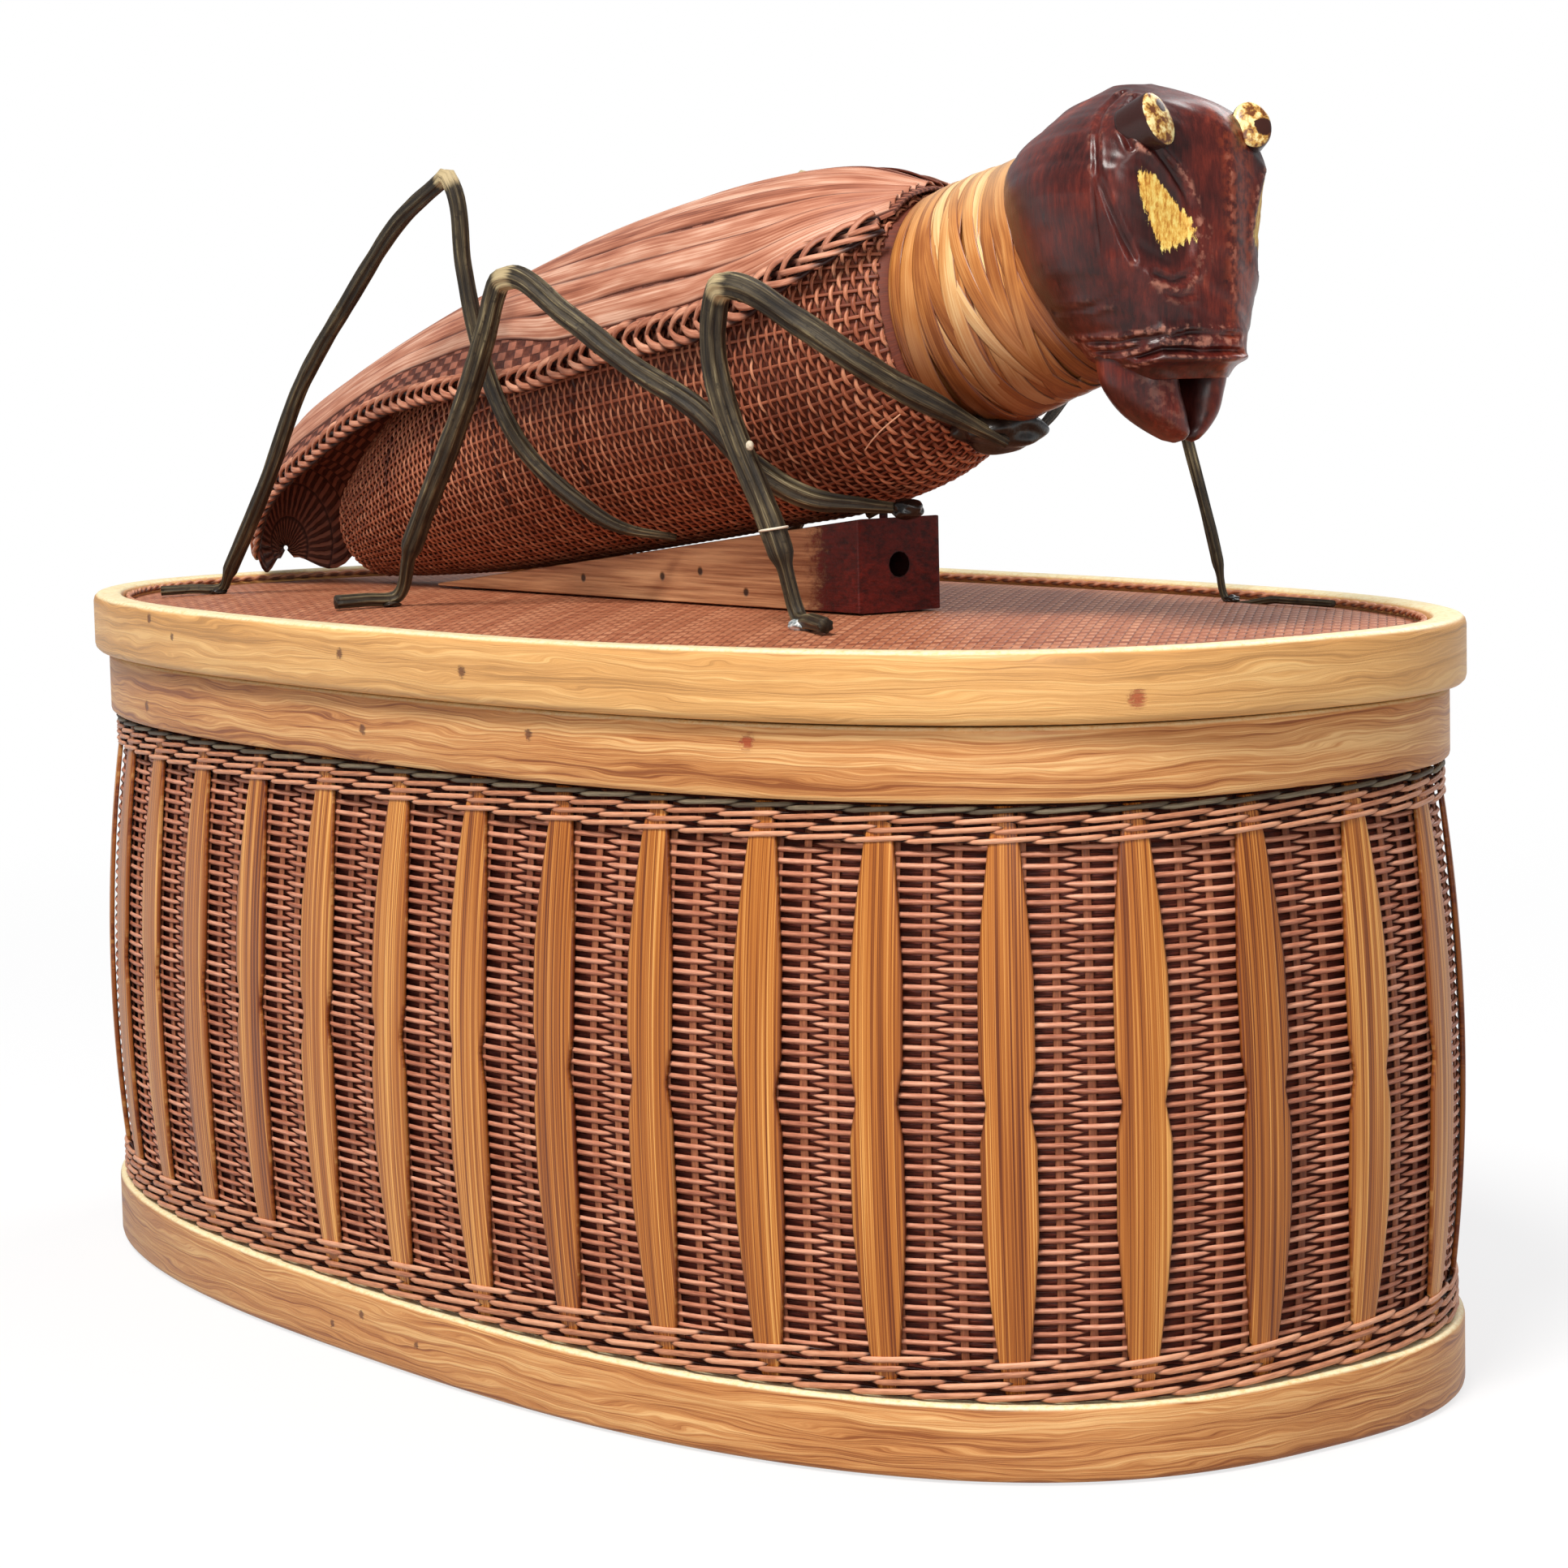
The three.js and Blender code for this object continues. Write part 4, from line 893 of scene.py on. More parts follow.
def wing_plaits():
    strand_count = 6
    sides = np.repeat([-1, 1], strand_count)
    shades = chance.random(2 * strand_count)

    def place(k, u, v):
        share = -0.15 + 1.136 * u
        side = sides[k]
        middle, out = braid_line(share, side)
        ahead, _ = braid_line(share + 0.002, side)
        along = ahead - middle
        along = along / np.linalg.norm(along, axis=0)
        across = np.cross(along, out, axis=0)
        across = across / np.linalg.norm(across, axis=0)
        phase = (k % strand_count) / strand_count * 2 * pi
        turn = share * abdomen_length / 21 * 2 * pi + phase
        loose = 1 + 0.12 * wobble(share * abdomen_length, k, 33)
        fade = eased(share, -0.17, -0.08)
        thick = fade * (0.9 + 0.5 * eased(share, 0.5, 0.8))
        swing = 2.0 * np.sin(turn) * loose * thick
        lift = 0.8 * np.sin(2 * turn) * loose * fade
        angle = v * 2 * pi
        across_at = swing + 0.66 * thick ** 0.5 * np.cos(angle)
        out_at = lift + 0.44 * np.sin(angle)
        p = middle + across * across_at + out * out_at
        return on_lid(p[0], p[1], p[2]), {
            "u": share * abdomen_length, "v": v * 3, "shade": shades[k],
            "dive": 0.5 - 0.5 * np.sin(2 * turn)}
    return strands("wing_plaits", 2 * strand_count, 240, 6, place)


plait_bamboo = strand_finish(
    "plait_bamboo", (224, 164, 134), (176, 112, 86), (118, 66, 50), (50, 20, 14), 0.45)
dress(wing_plaits(), plait_bamboo, *wings)

# Neck, wound with flat golden strips that cross and overlap


def neck_skin(share, turn, grow):
    lean = np.radians(8 + 18 * share)
    up = (neck_height / 2 + grow) * np.cos(turn)
    side = (neck_width / 2 - 4.75 * share + grow) * np.sin(turn)
    return on_lid(abdomen_tail + abdomen_length + neck_length * share - up * np.sin(lean), side,
                  belly_seat + neck_level * abdomen_height + 4.6 * share + up * np.cos(lean))


def neck_core(k, u, v):
    return neck_skin(0.01 + 0.98 * u, v * 2 * pi, -0.85), {
        "u": v * 110, "v": u * 30, "shade": 0.4, "rim": 0}


def neck_wraps():
    count = 34
    shades = chance.random(count)
    halves = chance.uniform(1.1, 1.9, count)
    seats = (np.arange(count) * 13 % count + 0.5) / count
    tilts = chance.normal(0.04, 0.11, count)
    swings = chance.uniform(-0.5, 0.5, count)
    levels = np.arange(count) / count

    def place(k, u, v):
        turn = pi + (u * 1.08 - 0.04) * 2 * pi
        across, out = rounded(v, 1, 1, 0.3)
        seat = seats[k] + tilts[k] * np.cos(turn - swings[k]) + 0.05 * (u - 0.5)
        margin = halves[k] / neck_length
        seat = margin + np.clip(seat, 0, 1) * (1 - 2 * margin) + across * margin
        grow = -0.45 + 0.62 * levels[k] + 0.13 * out + 0.14 * (1 - across ** 2)
        grow = grow - 0.5 * (1 - eased(u, 0, 0.03) * eased(1 - u, 0, 0.03))
        return neck_skin(seat, turn, grow), {
            "u": u * 110, "v": across * halves[k] + k * 9, "shade": shades[k], "rim": np.abs(across)}
    return strands("neck_wraps", count, 96, 12, place)


def neck_finish():
    look = Finish("neck_strip", 0.34, coat=0.25, coat_roughness=0.25)
    u, v, _ = look.axes("UV")
    own = look.own("shade")
    rim = look.own("rim")
    fibre = look.noise(u * 0.05, v * 3.2, own * 17, detail=4, rough=0.65)
    cloud = look.noise(u * 0.09, v * 0.3, own * 3, detail=2)
    tone = fibre * 0.4 + cloud * 0.35 + own * 0.28
    skin = look.ramp(
        tone, (0.36, 150, 84, 36), (0.46, 194, 124, 62), (0.56, 220, 158, 94),
        (0.68, 246, 206, 146))
    skin = look.mix(rim.between(0.82, 1.0) * 0.85, skin, (112, 48, 18))
    height = look.axes("Object")[2]
    # Darker towards the bottom of the neck: painted shade under it, with some stain
    skin = look.mix(height.between(166, 190, 1, 0) * 0.75, skin, (112, 44, 12), "MULTIPLY")
    # Painted highlight: the top of the neck is mixed towards pale cream
    look.colour(look.mix(height.between(192, 208) * 0.35, skin, (255, 226, 178)))
    look.roughness(fibre * 0.25 + 0.24)
    look.bump(fibre, 0.15, 0.4)
    return look


neck_strip = neck_finish()
dress(strands("neck_core", 1, 12, 64, neck_core), neck_strip, "lid", "neck_strip", "neck_winding")
dress(neck_wraps(), neck_strip, "lid", "neck_strip", "neck_winding")

# Carved head, laid out from the middle of its collar

collar_place = (103.0, 0, 187.8)
collar_lean = math.radians(26) + slope
head_length = 32
head_crown = 27.85
head_chin = 19
head_width = 37.5
nose_side = 3.3
head_at = smooth([
    [0, head_crown, 0.32, 0.55, 0.14, 0.9], [1, 0.95 * head_crown, 0.2, 0.7, 0.32, 0.8],
    [2, 0.87 * head_crown, 0, 0.88, 0.54, 0.7], [3, 0.76 * head_crown, -0.14, 0.97, 0.76, 0.6],
    [4, 0.62 * head_crown, -0.34, 1, 0.9, 0.58], [5, 0.4 * head_crown, -0.42, 1.02, 1, 0.58],
    [6, 0, -0.34, 1.03, 0.92, 0.66], [7, -0.5 * head_chin, -0.12, 1.04, 0.76, 0.8],
    [8, -0.76 * head_chin, 0.12, 1.05, 0.64, 0.86], [9, -0.84 * head_chin, 0.2, 1.07, 0.62, 0.9],
    [10, -0.9 * head_chin, 0.3, 1.0, 0.56, 0.9], [11, -head_chin, 0.38, 0.95, 0.5, 0.9]])


def far_from(points, line):
    """Distance of each point from a carved line"""
    best = np.full(points.shape[1], 1e9)
    line = np.array(line, float)
    for a, b in zip(line[:-1], line[1:]):
        run = b - a
        share = np.clip(((points.T - a) @ run) / (run @ run), 0, 1)
        near = a + share[:, None] * run
        best = np.minimum(best, np.linalg.norm(points.T - near, axis=1))
    return best


def groove(points, line, depth, width, lip=0.35):
    """A cut along a line, with the wood raised a little beside it"""
    far = far_from(points, line)
    return lip * depth * np.exp(-((far - 1.9 * width) / width) ** 2) - depth * np.exp(-(far / width) ** 2)


# Carved lines of one side, from the middle of the collar: ahead, outwards, up
jaw_line = [(19, 6, 26.5), (20.4, 11, 23.6), (22.7, 14.7, 20.5), (24.4, 16.5, 17), (25.5, 17.2, 14),
            (27, 17.3, 10.5), (28, 16.4, 7), (29, 15.2, 3.3), (30, 13.8, 0)]
brow_line = [(22.5, 6.5, 25.5), (25.4, 11.7, 22.6), (27.5, 13.6, 19.8), (29.5, 13.7, 17.2)]
dish_line = [(30.6, 11.3, 17.9), (31.9, 8.6, 15.1), (32.7, 5.6, 11.3), (33.4, 4, 8), (33.9, 3, 5),
             (34, 2.5, 2), (33.8, 3, -0.8), (33.2, 5, -3), (32.3, 7.8, -3.8), (31.5, 10.6, -2.6)]
chin_arc = [(31.8, 8.9, -5.4), (32.6, 6.4, -6.1), (33.4, 3.8, -5.7)]
upper_lip = [(8, 10, -13.4), (16, 12, -13.2), (22, 12.6, -13), (28.2, 11.6, -12.6), (31.5, 8.8, -11.9)]
front_lip = [(31.5, 8.2, -12.4), (33.3, 4.4, -11.7), (34.5, 0, -12.1), (34.6, -3.3, -12.3)]
lower_lip = [(8, 8, -14.9), (16, 11, -14.7), (21.5, 11.8, -14.4), (27.6, 11.6, -13.8), (31.2, 9.2, -12.6)]
mouth_line = [(9, 7, -16.3), (21, 10.9, -16.1), (28.2, 11.1, -15.5), (31.2, 9, -14.2), (34, 3, -14.6),
              (34.2, -3.3, -14.9)]
cheek_crease = [(8.5, 12, -8.1), (16, 14.3, -7.6), (21.3, 14.9, -7.3), (25.6, 14.6, -6.2),
                (28.1, 13.9, -4.7)]
dish_middle = (32, 9.2, 6.6)


def head_skin(u, v):
    """The head's form before it is carved: u down from the crown, v round from the back"""
    z, back, front, width, rounding = head_at(u * 11)
    angle = (v - 0.5) * 2 * pi
    c = np.cos(angle)
    s = np.sin(angle)
    x_back = back * head_length
    x_front = front * head_length
    x_wide = x_back + 0.66 * (x_front - x_back)
    power = np.where(c > 0, rounding, 1.25)
    reach = np.where(c > 0, x_front, x_back) - x_wide
    y = width * head_width / 2 * np.sign(s) * np.abs(s) ** power
    ridge = np.where(c > 0, 1.6 * np.exp(-((y - nose_side) / (0.09 * head_width)) ** 2), 0)
    return np.stack([x_wide + reach * np.abs(c) ** power + ridge * width, y, z])


def carved_head():
    def place(k, u, v):
        down = np.clip((u - 0.012) / 0.976, 0, 1)
        points = head_skin(down, v)
        ends = (u < 0.006) | (u > 0.994)
        middle_x = np.where(u < 0.5, 0.43, 0.66) * head_length
        points[0] = np.where(ends, middle_x, points[0])
        points[1] = np.where(ends, 0, points[1])
        folded = np.stack([points[0], np.abs(points[1] - nose_side) - nose_side, points[2]])
        turned = folded - np.array(dish_middle)[:, None]
        side = turned[1] * 0.83 + turned[0] * 0.55 - 0.12 * turned[2]
        dish = np.clip(1 - (side / 4.6) ** 2 - ((turned[2] + 0.5) / 10.2) ** 2, 0, 1)
        dish = dish * (np.abs(turned[0]) < 7)
        depth = sum(groove(folded, *line) for line in (
            (jaw_line, 0.55, 0.55), (brow_line, 0.5, 0.5), (dish_line, 0.75, 0.6, 0.55),
            (chin_arc, 0.45, 0.45), (upper_lip, 0.75, 0.5, 0.7), (front_lip, 0.7, 0.5, 0.7),
            (lower_lip, 0.6, 0.45, 0.6), (mouth_line, 0.8, 0.55, 0.4), (cheek_crease, 0.3, 0.5, 0.3)))
        depth -= 1.3 * dish ** 0.7
        depth += 0.12 * wobble(points[2] * 1.7 + points[1], 3, 11) * (1 - ends)
        axis = np.stack([np.full_like(u, 14), 0 * u, points[2] * 0.8])
        outward = points - axis
        outward = outward / np.maximum(np.linalg.norm(outward, axis=0), 1e-6)
        points = points + outward * np.clip(depth, -1.8, 0.35) * (1 - ends)
        across = 0.6 * turned[0] - 0.8 * turned[1] + 0.2
        level = turned[2] - 0.08 * (turned[0] + turned[1]) - 1.2
        along = 0.515 * across - 0.858 * level
        beside_patch = (0.858 * across + 0.515 * level) / np.clip(2.9 + 0.2 * along, 1.4, 4.2)
        gold = np.exp(-(beside_patch ** 4 + (along / 6.8) ** 4)) * (turned[0] > -7)
        # Painted highlight along the nose ridge
        nose_highlight = np.exp(-((points[1] - nose_side) / 0.8) ** 2) * (points[0] > 25) * eased(points[2], -10, -4)
        nose_highlight = nose_highlight * (1 - eased(points[2], 14, 20))
        carried = {"u": v * 110, "v": points[2], "hollow": np.clip(-depth / 1.2, 0, 1),
                   "ridge": np.clip((depth - 0.1) / 0.25 + nose_highlight, 0, 1), "gold": gold * (1 - ends)}
        return tuple(points[i] + collar_place[i] for i in range(3)), carried
    mesh = strands("carved_head", 1, 170, 260, place, closed=True)
    shape = bmesh.new()
    shape.from_mesh(mesh)
    cut = Vector((math.cos(collar_lean), 0, math.sin(collar_lean)))
    bmesh.ops.bisect_plane(
        shape, geom=shape.verts[:] + shape.edges[:] + shape.faces[:], dist=1e-6,
        plane_co=(Vector(collar_place) + cut * 0.3) * MM, plane_no=cut, clear_inner=True)
    bmesh.ops.holes_fill(shape, edges=[edge for edge in shape.edges if edge.is_boundary], sides=0)
    bmesh.ops.recalc_face_normals(shape, faces=shape.faces)
    shape.to_mesh(mesh)
    shape.free()
    return mesh


def lacquer_finish():
    look = Finish("head_lacquer", 0.34, coat=0.16, coat_roughness=0.25)
    x, y, z = look.axes("Object")
    hollow = look.own("hollow")
    ridge = look.own("ridge")
    gold = look.own("gold")
    brushed = look.noise(x * 0.35, y * 0.35, z * 0.06, scale=3.2, detail=5, rough=0.7)
    cloud = look.noise(x * 0.05, y * 0.05, z * 0.05, scale=1.6)
    wood = look.ramp(
        brushed * 0.42 + cloud * 0.62, (0.38, 42, 11, 9), (0.5, 76, 24, 18),
        (0.6, 106, 36, 24), (0.72, 164, 70, 42))
    # Painted shade in the carved hollows, and at the jaws' roots and inner faces
    wood = look.mix(hollow.between(0.2, 0.9) * 0.75, wood, (30, 10, 9))
    worn = look.noise(x, y, z, scale=0.7, detail=4)
    warm = (y - 0.6).between(0, 3) * y.between(8, 11, 1, 0) * x.between(128, 134) * worn.between(0.38, 0.6)
    wood = look.mix(warm * 0.6, wood, (158, 66, 34))
    # Lighter where the lacquer is worn on the raised lips beside the cuts, plus a painted highlight along
    # the nose ridge
    wood = look.mix(ridge * worn.between(0.46, 0.64) * 0.6, wood, (198, 134, 112))
    ragged = look.noise(x * 1.4, y * 1.4, z * 0.5, detail=4, rough=0.7)
    patch = (gold + (ragged - 0.5) * 1.3).between(0.42, 0.56)
    wood = look.mix(patch * 0.95, wood, look.ramp(
        ragged, (0.38, 196, 128, 44), (0.5, 236, 184, 84), (0.62, 252, 226, 130)))
    look.colour(wood)
    look.roughness(brushed * 0.3 + 0.18 + patch * 0.2)
    look.bump(brushed, 0.12, 0.35)
    return look


head_lacquer = lacquer_finish()
dress(carved_head(), head_lacquer, "lid", "head_lacquer", "head")
jaw_at = smooth([
    [0, 0.645, 0.15, 0.235, 0.15], [0.4, 0.685, 0.14, 0.215, 0.145], [0.75, 0.755, 0.1, 0.165, 0.105],
    [0.92, 0.79, 0.06, 0.1, 0.065], [1, 0.8, 0.05, 0.035, 0.03]])


def jaws(k, u, v):
    ahead, apart, length, width = jaw_at(u)
    angle = v * 2 * pi
    side = 2 * k - 1
    thin = np.where(u > 0.99, 0.2, 1)
    apart = apart + 0.04 * (1 - u) * k
    width = width * (1 - 0.3 * k)
    length = length * (1 - 0.45 * k * u)
    x = (ahead + length * thin * np.cos(angle)) * head_length
    y = (side * apart + width * thin * np.sin(angle)) * head_width
    z = -0.8 * head_chin - 14 * u
    worn = np.clip(np.cos(angle) * 1.2 - 0.4, 0, 1) * (1 - k)
    # Painted shade on the inner faces of the jaws and at their roots
    inner = np.clip(-side * np.sin(angle) * 1.6, 0, 1)
    carried = {"u": v * 30, "v": z, "hollow": np.maximum(1 - eased(u, 0, 0.12), inner),
               "ridge": worn * 0.35, "gold": 0}
    return (x + collar_place[0], y, z + collar_place[2]), carried


dress(strands("jaws", 2, 32, 40, jaws), head_lacquer, "lid", "head_lacquer", "head")


def eye(name, axis, tip, wide, tall, pupil_at, pupil_size):
    """An oval peg with a domed, painted face, set slantwise in its socket"""
    axis = Vector(axis).normalized()
    right = axis.cross(Vector((0, 0, 1))).normalized()
    up = right.cross(axis)
    tip = Vector(collar_place) + Vector(tip)

    def place(k, u, v):
        back = np.interp(u, [0, 0.45, 0.6, 0.72, 0.84, 0.93, 1], [7, 1.5, 0.95, 0.62, 0.32, 0.1, 0.02])
        radius = np.interp(u, [0, 0.45, 0.6, 0.72, 0.84, 0.93, 1], [0.9, 1, 0.97, 0.88, 0.62, 0.3, 0.02])
        angle = v * 2 * pi
        across = radius * wide * np.cos(angle)
        level = radius * tall * np.sin(angle)
        across, level = across + 0.21 * level, level - 0.21 * across
        points = [tip[i] - axis[i] * back + right[i] * across + up[i] * level for i in range(3)]
        far = np.hypot(across - pupil_at[0], level - pupil_at[1])
        pupil = np.exp(-(far / pupil_size) ** 4)
        return points, {"u": across, "v": level, "face": eased(u, 0.5, 0.68), "pupil": pupil * (u > 0.5)}
    return strands(name, 1, 28, 40, place)


def eye_finish():
    look = Finish("eye_gilt", 0.35, coat=0.2)
    x, y, z = look.axes("Object")
    face = look.own("face")
    pupil = look.own("pupil")
    worn = look.noise(x, y, z, scale=0.6, rough=0.6)
    gilt = look.ramp(worn, (0.4, 110, 60, 26), (0.48, 196, 146, 70), (0.58, 246, 226, 160))
    gilt = look.mix((pupil + (worn - 0.5) * 1.8).between(0.4, 0.6), gilt, (58, 24, 14))
    look.colour(look.mix((face + (worn - 0.5) * 0.7).between(0.4, 0.6), (52, 24, 20), gilt))
    look.roughness(worn * 0.3 + 0.2)
    look.bump(worn, 0.15, 0.5)
    return look


eye_gilt = eye_finish()
near_eye = eye("eye_right_peg", (0.86, 0.2, 0.32), (32.6, -9.6, 21.9), 3.5, 4.4, (-0.6, 2.0), 1.2)
far_eye = eye("eye_left_peg", (0.74, -0.42, 0.3), (32, 10.1, 21.2), 3.1, 3.9, (-1.8, -0.6), 1.7)
dress(near_eye, eye_gilt, "lid", "eye_gilt", "eye_right")
dress(far_eye, eye_gilt, "lid", "eye_gilt", "eye_left")

# Legs, bent ribbed stems with flattened toes


def beside(side, radius, places):
    along, out, up = np.array(places, float).T
    x = abdomen_tail + along * abdomen_length
    y = side * (out * abdomen_width / 2 + radius)
    return np.stack(on_lid(x, y, belly_seat + up * abdomen_height), 1)


panel_length = 153.7
panel_width = 78.4


def on_panel(side, x, margin, radius):
    along = (abs(x) / panel_length) ** oval_power
    y = side * (panel_width * (1 - along) ** (1 / oval_power) - margin)
    share = (along + (abs(y) / panel_width) ** oval_power) ** (1 / oval_power)
    return np.array([x, y, panel_height(share) + 0.3 + radius])


def leg_points(side, radius, places, foot, toe):
    points = beside(side, radius, places)
    sole = on_panel(side, *foot, radius * 0.62)
    tip = on_panel(side, *toe, radius * 0.62)
    ankle = sole + (points[-1] - sole) * radius / 12
    return np.vstack([points, ankle, sole, (sole + tip) / 2, tip])


def ribbed_stem(name, points, radius, seed):
    reach = np.concatenate([[0], np.cumsum(np.linalg.norm(np.diff(points, axis=0), axis=1))])
    follow = smooth(np.column_stack([reach, points]))
    steps = 150
    at = np.linspace(0, reach[-1], steps + 1)
    line = follow(at).T
    along = np.gradient(line, axis=0)
    along = along / np.linalg.norm(along, axis=1)[:, None]
    across = np.array([0, 0, 1.0])
    frames = []
    for way in along:
        normal = np.cross(way, across)
        normal = normal / np.linalg.norm(normal)
        across = np.cross(normal, way)
        frames.append((normal, across))
    normals = np.array([pair[0] for pair in frames])
    acrosses = np.array([pair[1] for pair in frames])
    toe_start = reach[-4]

    def place(k, u, v):
        i = np.rint(u * steps).astype(int)
        angle = v * 2 * pi
        girth = radius * (1 - 0.38 * eased(at[i], toe_start - 1.5, toe_start + 1.5))
        girth = girth * (0.42 + 0.58 * eased(at[i], -1, 20))
        ribs = 0.5 + 0.5 * np.cos(7 * angle + 0.8 * wobble(at[i], seed, 45))
        uneven = 1 + 0.05 * wobble(at[i], seed + 2, 21)
        size = girth * (0.86 + 0.16 * ribs) * uneven
        size = np.minimum(size, girth * 1.03)
        p = line[i] + normals[i] * (size * np.cos(angle))[:, None]
        p = p + acrosses[i] * (size * np.sin(angle))[:, None]
        return (p[:, 0], p[:, 1], p[:, 2]), {"u": at[i], "v": v * 14, "rib": ribs}
    return strands(name, 1, steps, 42, place)


def stem_finish():
    look = Finish("leg_stem", 0.55)
    u, v, _ = look.axes("UV")
    x, y, z = look.axes("Object")
    rib = look.own("rib")
    fibre = look.noise(u * 0.12, v * 3.2, detail=5, rough=0.7)
    patch = look.noise(x * 0.09, y * 0.09, z * 0.09)
    speck = look.noise(x * 0.9, y * 0.9, z * 0.9)
    tone = fibre * 0.6 + rib * 0.1 + patch * 0.3
    skin = look.ramp(
        tone, (0.4, 24, 18, 12), (0.5, 54, 45, 32), (0.58, 88, 76, 54),
        (0.68, 160, 146, 110))
    skin = look.mix(speck.between(0.58, 0.68) * 0.6, skin, (24, 17, 12))
    worn = 0
    for line in leg_lines.values():
        knee = line[np.argmax(line[:, 2])]
        worn = worn + spot(look, (x, y, z), [float(value) for value in knee], 3.2, 0.7)
    look.colour(look.mix((worn * (fibre + 0.2)).between(0.3, 0.6) * 0.8, skin, (206, 184, 140)))
    look.roughness(fibre * 0.3 + 0.38)
    look.bump(fibre * 0.8 + rib * 0.2, 0.3, 0.6)
    return look


front_right = ([[1.059, 0.02, 0.15], [1.05, 0.38, 0.24], [1.033, 0.66, 0.325], [1.018, 0.9, 0.41],
                [0.983, 1.12, 0.535], [0.945, 1.36, 0.65], [0.933, 1.38, 0.655], [0.922, 1.37, 0.63],
                [0.915, 1.37, 0.575]], (68, 42.6), (84, 33))
front_left = ([[1.035, 0.05, 0.14], [1.025, 0.38, 0.21], [1.01, 0.66, 0.29], [0.995, 1, 0.41],
               [0.98, 1.4, 0.535], [0.972, 1.85, 0.64], [0.966, 1.9, 0.64], [0.96, 1.92, 0.6]],
              (71.5, 12.6), (98, 5))
middle_thigh = [[0.812, 1.02, 0.35], [0.755, 1.2, 0.5], [0.7, 1.38, 0.67], [0.638, 1.52, 0.815],
                [0.628, 1.53, 0.81], [0.618, 1.54, 0.77], [0.607, 1.55, 0.7]]
middle_hips = {
    "right": [[0.925, 0.07, 0.008], [0.905, 0.3, 0.03], [0.88, 0.55, 0.06], [0.845, 0.8, 0.17]],
    "left": [[0.755, 0.42, 0.03], [0.76, 0.6, 0.07], [0.775, 0.84, 0.18]]}
rear_stem = [[0.628, 0.35, 0.018], [0.6, 0.68, 0.07], [0.575, 0.92, 0.18], [0.553, 1.1, 0.31],
             [0.536, 1.21, 0.47], [0.527, 1.28, 0.65], [0.527, 1.35, 0.9], [0.533, 1.42, 1.155],
             [0.53, 1.43, 1.175], [0.52, 1.43, 1.165], [0.455, 1.43, 1.1], [0.34, 1.43, 0.885],
             [0.233, 1.43, 0.645], [0.155, 1.43, 0.38]]
stems = {"front_leg_right": (-1, 2.3, *front_right), "front_leg_left": (1, 1.1, *front_left)}
for side, hand in ((-1, "right"), (1, "left")):
    stems[f"middle_leg_{hand}"] = (side, 2.1, middle_hips[hand] + middle_thigh, (-41.5, 33.4), (-44, 22))
    stems[f"rear_leg_{hand}"] = (side, 1.6, rear_stem, (-115, 21.9), (-122, 8))
leg_lines = {leg: leg_points(side, radius, places, foot, toe)
             for leg, (side, radius, places, foot, toe) in stems.items()}
leg_stem = stem_finish()
for seed, (leg, (_, radius, *_)) in enumerate(stems.items()):
    dress(ribbed_stem(leg + "_stem", leg_lines[leg], radius, seed), leg_stem,
          "lid", "leg_stem", leg)


def blob(name, middle, sizes, seed, rough=0.16):
    """A lump that ran and set: a ball, pressed to size and dented"""
    shape = bmesh.new()
    bmesh.ops.create_icosphere(shape, subdivisions=5, radius=1)
    for vertex in shape.verts:
        p = vertex.co
        dent = sum(math.sin(p[i] * rate + seed * (i + 1)) * math.cos(p[(i + 1) % 3] * rate * 1.3)
                   for i, rate in enumerate((3.1, 4.3, 5.2))) / 3
        swell = 1 - rough + rough * dent
        vertex.co = Vector([(middle[i] + p[i] * sizes[i] * swell) * MM for i in range(3)])
    for face in shape.faces:
        face.smooth = True
    mesh = bpy.data.meshes.new(name)
    shape.to_mesh(mesh)
    shape.free()
    return mesh


def pitch_finish():
    look = Finish("leg_pitch", 0.32, coat=0.3)
    x, y, z = look.axes("Object")
    grain = look.noise(x * 0.4, y * 0.4, z * 0.4, detail=4)
    look.colour(look.ramp(grain, (0.4, 16, 11, 9), (0.6, 34, 26, 20), (0.72, 74, 62, 50)))
    look.roughness(grain * 0.4 + 0.16)
    look.bump(grain, 0.5, 0.6)
    return look


leg_pitch = pitch_finish()
under_neck = on_lid(84.5, 0, 12.2)
dress(blob("hip_pitch", leg_lines["middle_leg_right"][0], (3.6, 3.2, 2.2), 4),
      leg_pitch, "lid", "leg_pitch")
dress(blob("neck_pitch", under_neck, (8, 10, 4.8), 2), leg_pitch, "lid", "leg_pitch", "leg_pitch")


def glue_finish():
    look = Finish("foot_glue", 0.3, coat=0.4)
    x, y, z = look.axes("Object")
    cloud = look.noise(x * 0.55, y * 0.55, z * 0.55, detail=4, rough=0.65)
    look.colour(look.ramp(
        cloud, (0.4, 66, 78, 80), (0.5, 150, 160, 162), (0.58, 226, 226, 222)))
    look.roughness(cloud * 0.4 + 0.15)
    look.bump(cloud, 0.4, 0.6)
    return look


foot_glue = glue_finish()


def foot_blobs():
    for seed, (leg, line) in enumerate(leg_lines.items()):
        radius = stems[leg][1] * 0.62
        sole, instep = line[-3], line[-2]
        pale = leg == "front_leg_right"
        middle = sole * 0.55 + instep * 0.45 if pale else sole * 0.85 + instep * 0.15
        sizes = (4.4, 2.6, 1.5) if pale else (radius + 1.1, radius + 1.1, 0.9)
        middle[2] -= radius + 0.1 - (0.55 if pale else 0.3)
        dress(blob(leg + "_glue", middle, sizes, seed, 0.22),
              foot_glue if pale else leg_pitch, "lid", "leg_stem")


foot_blobs()


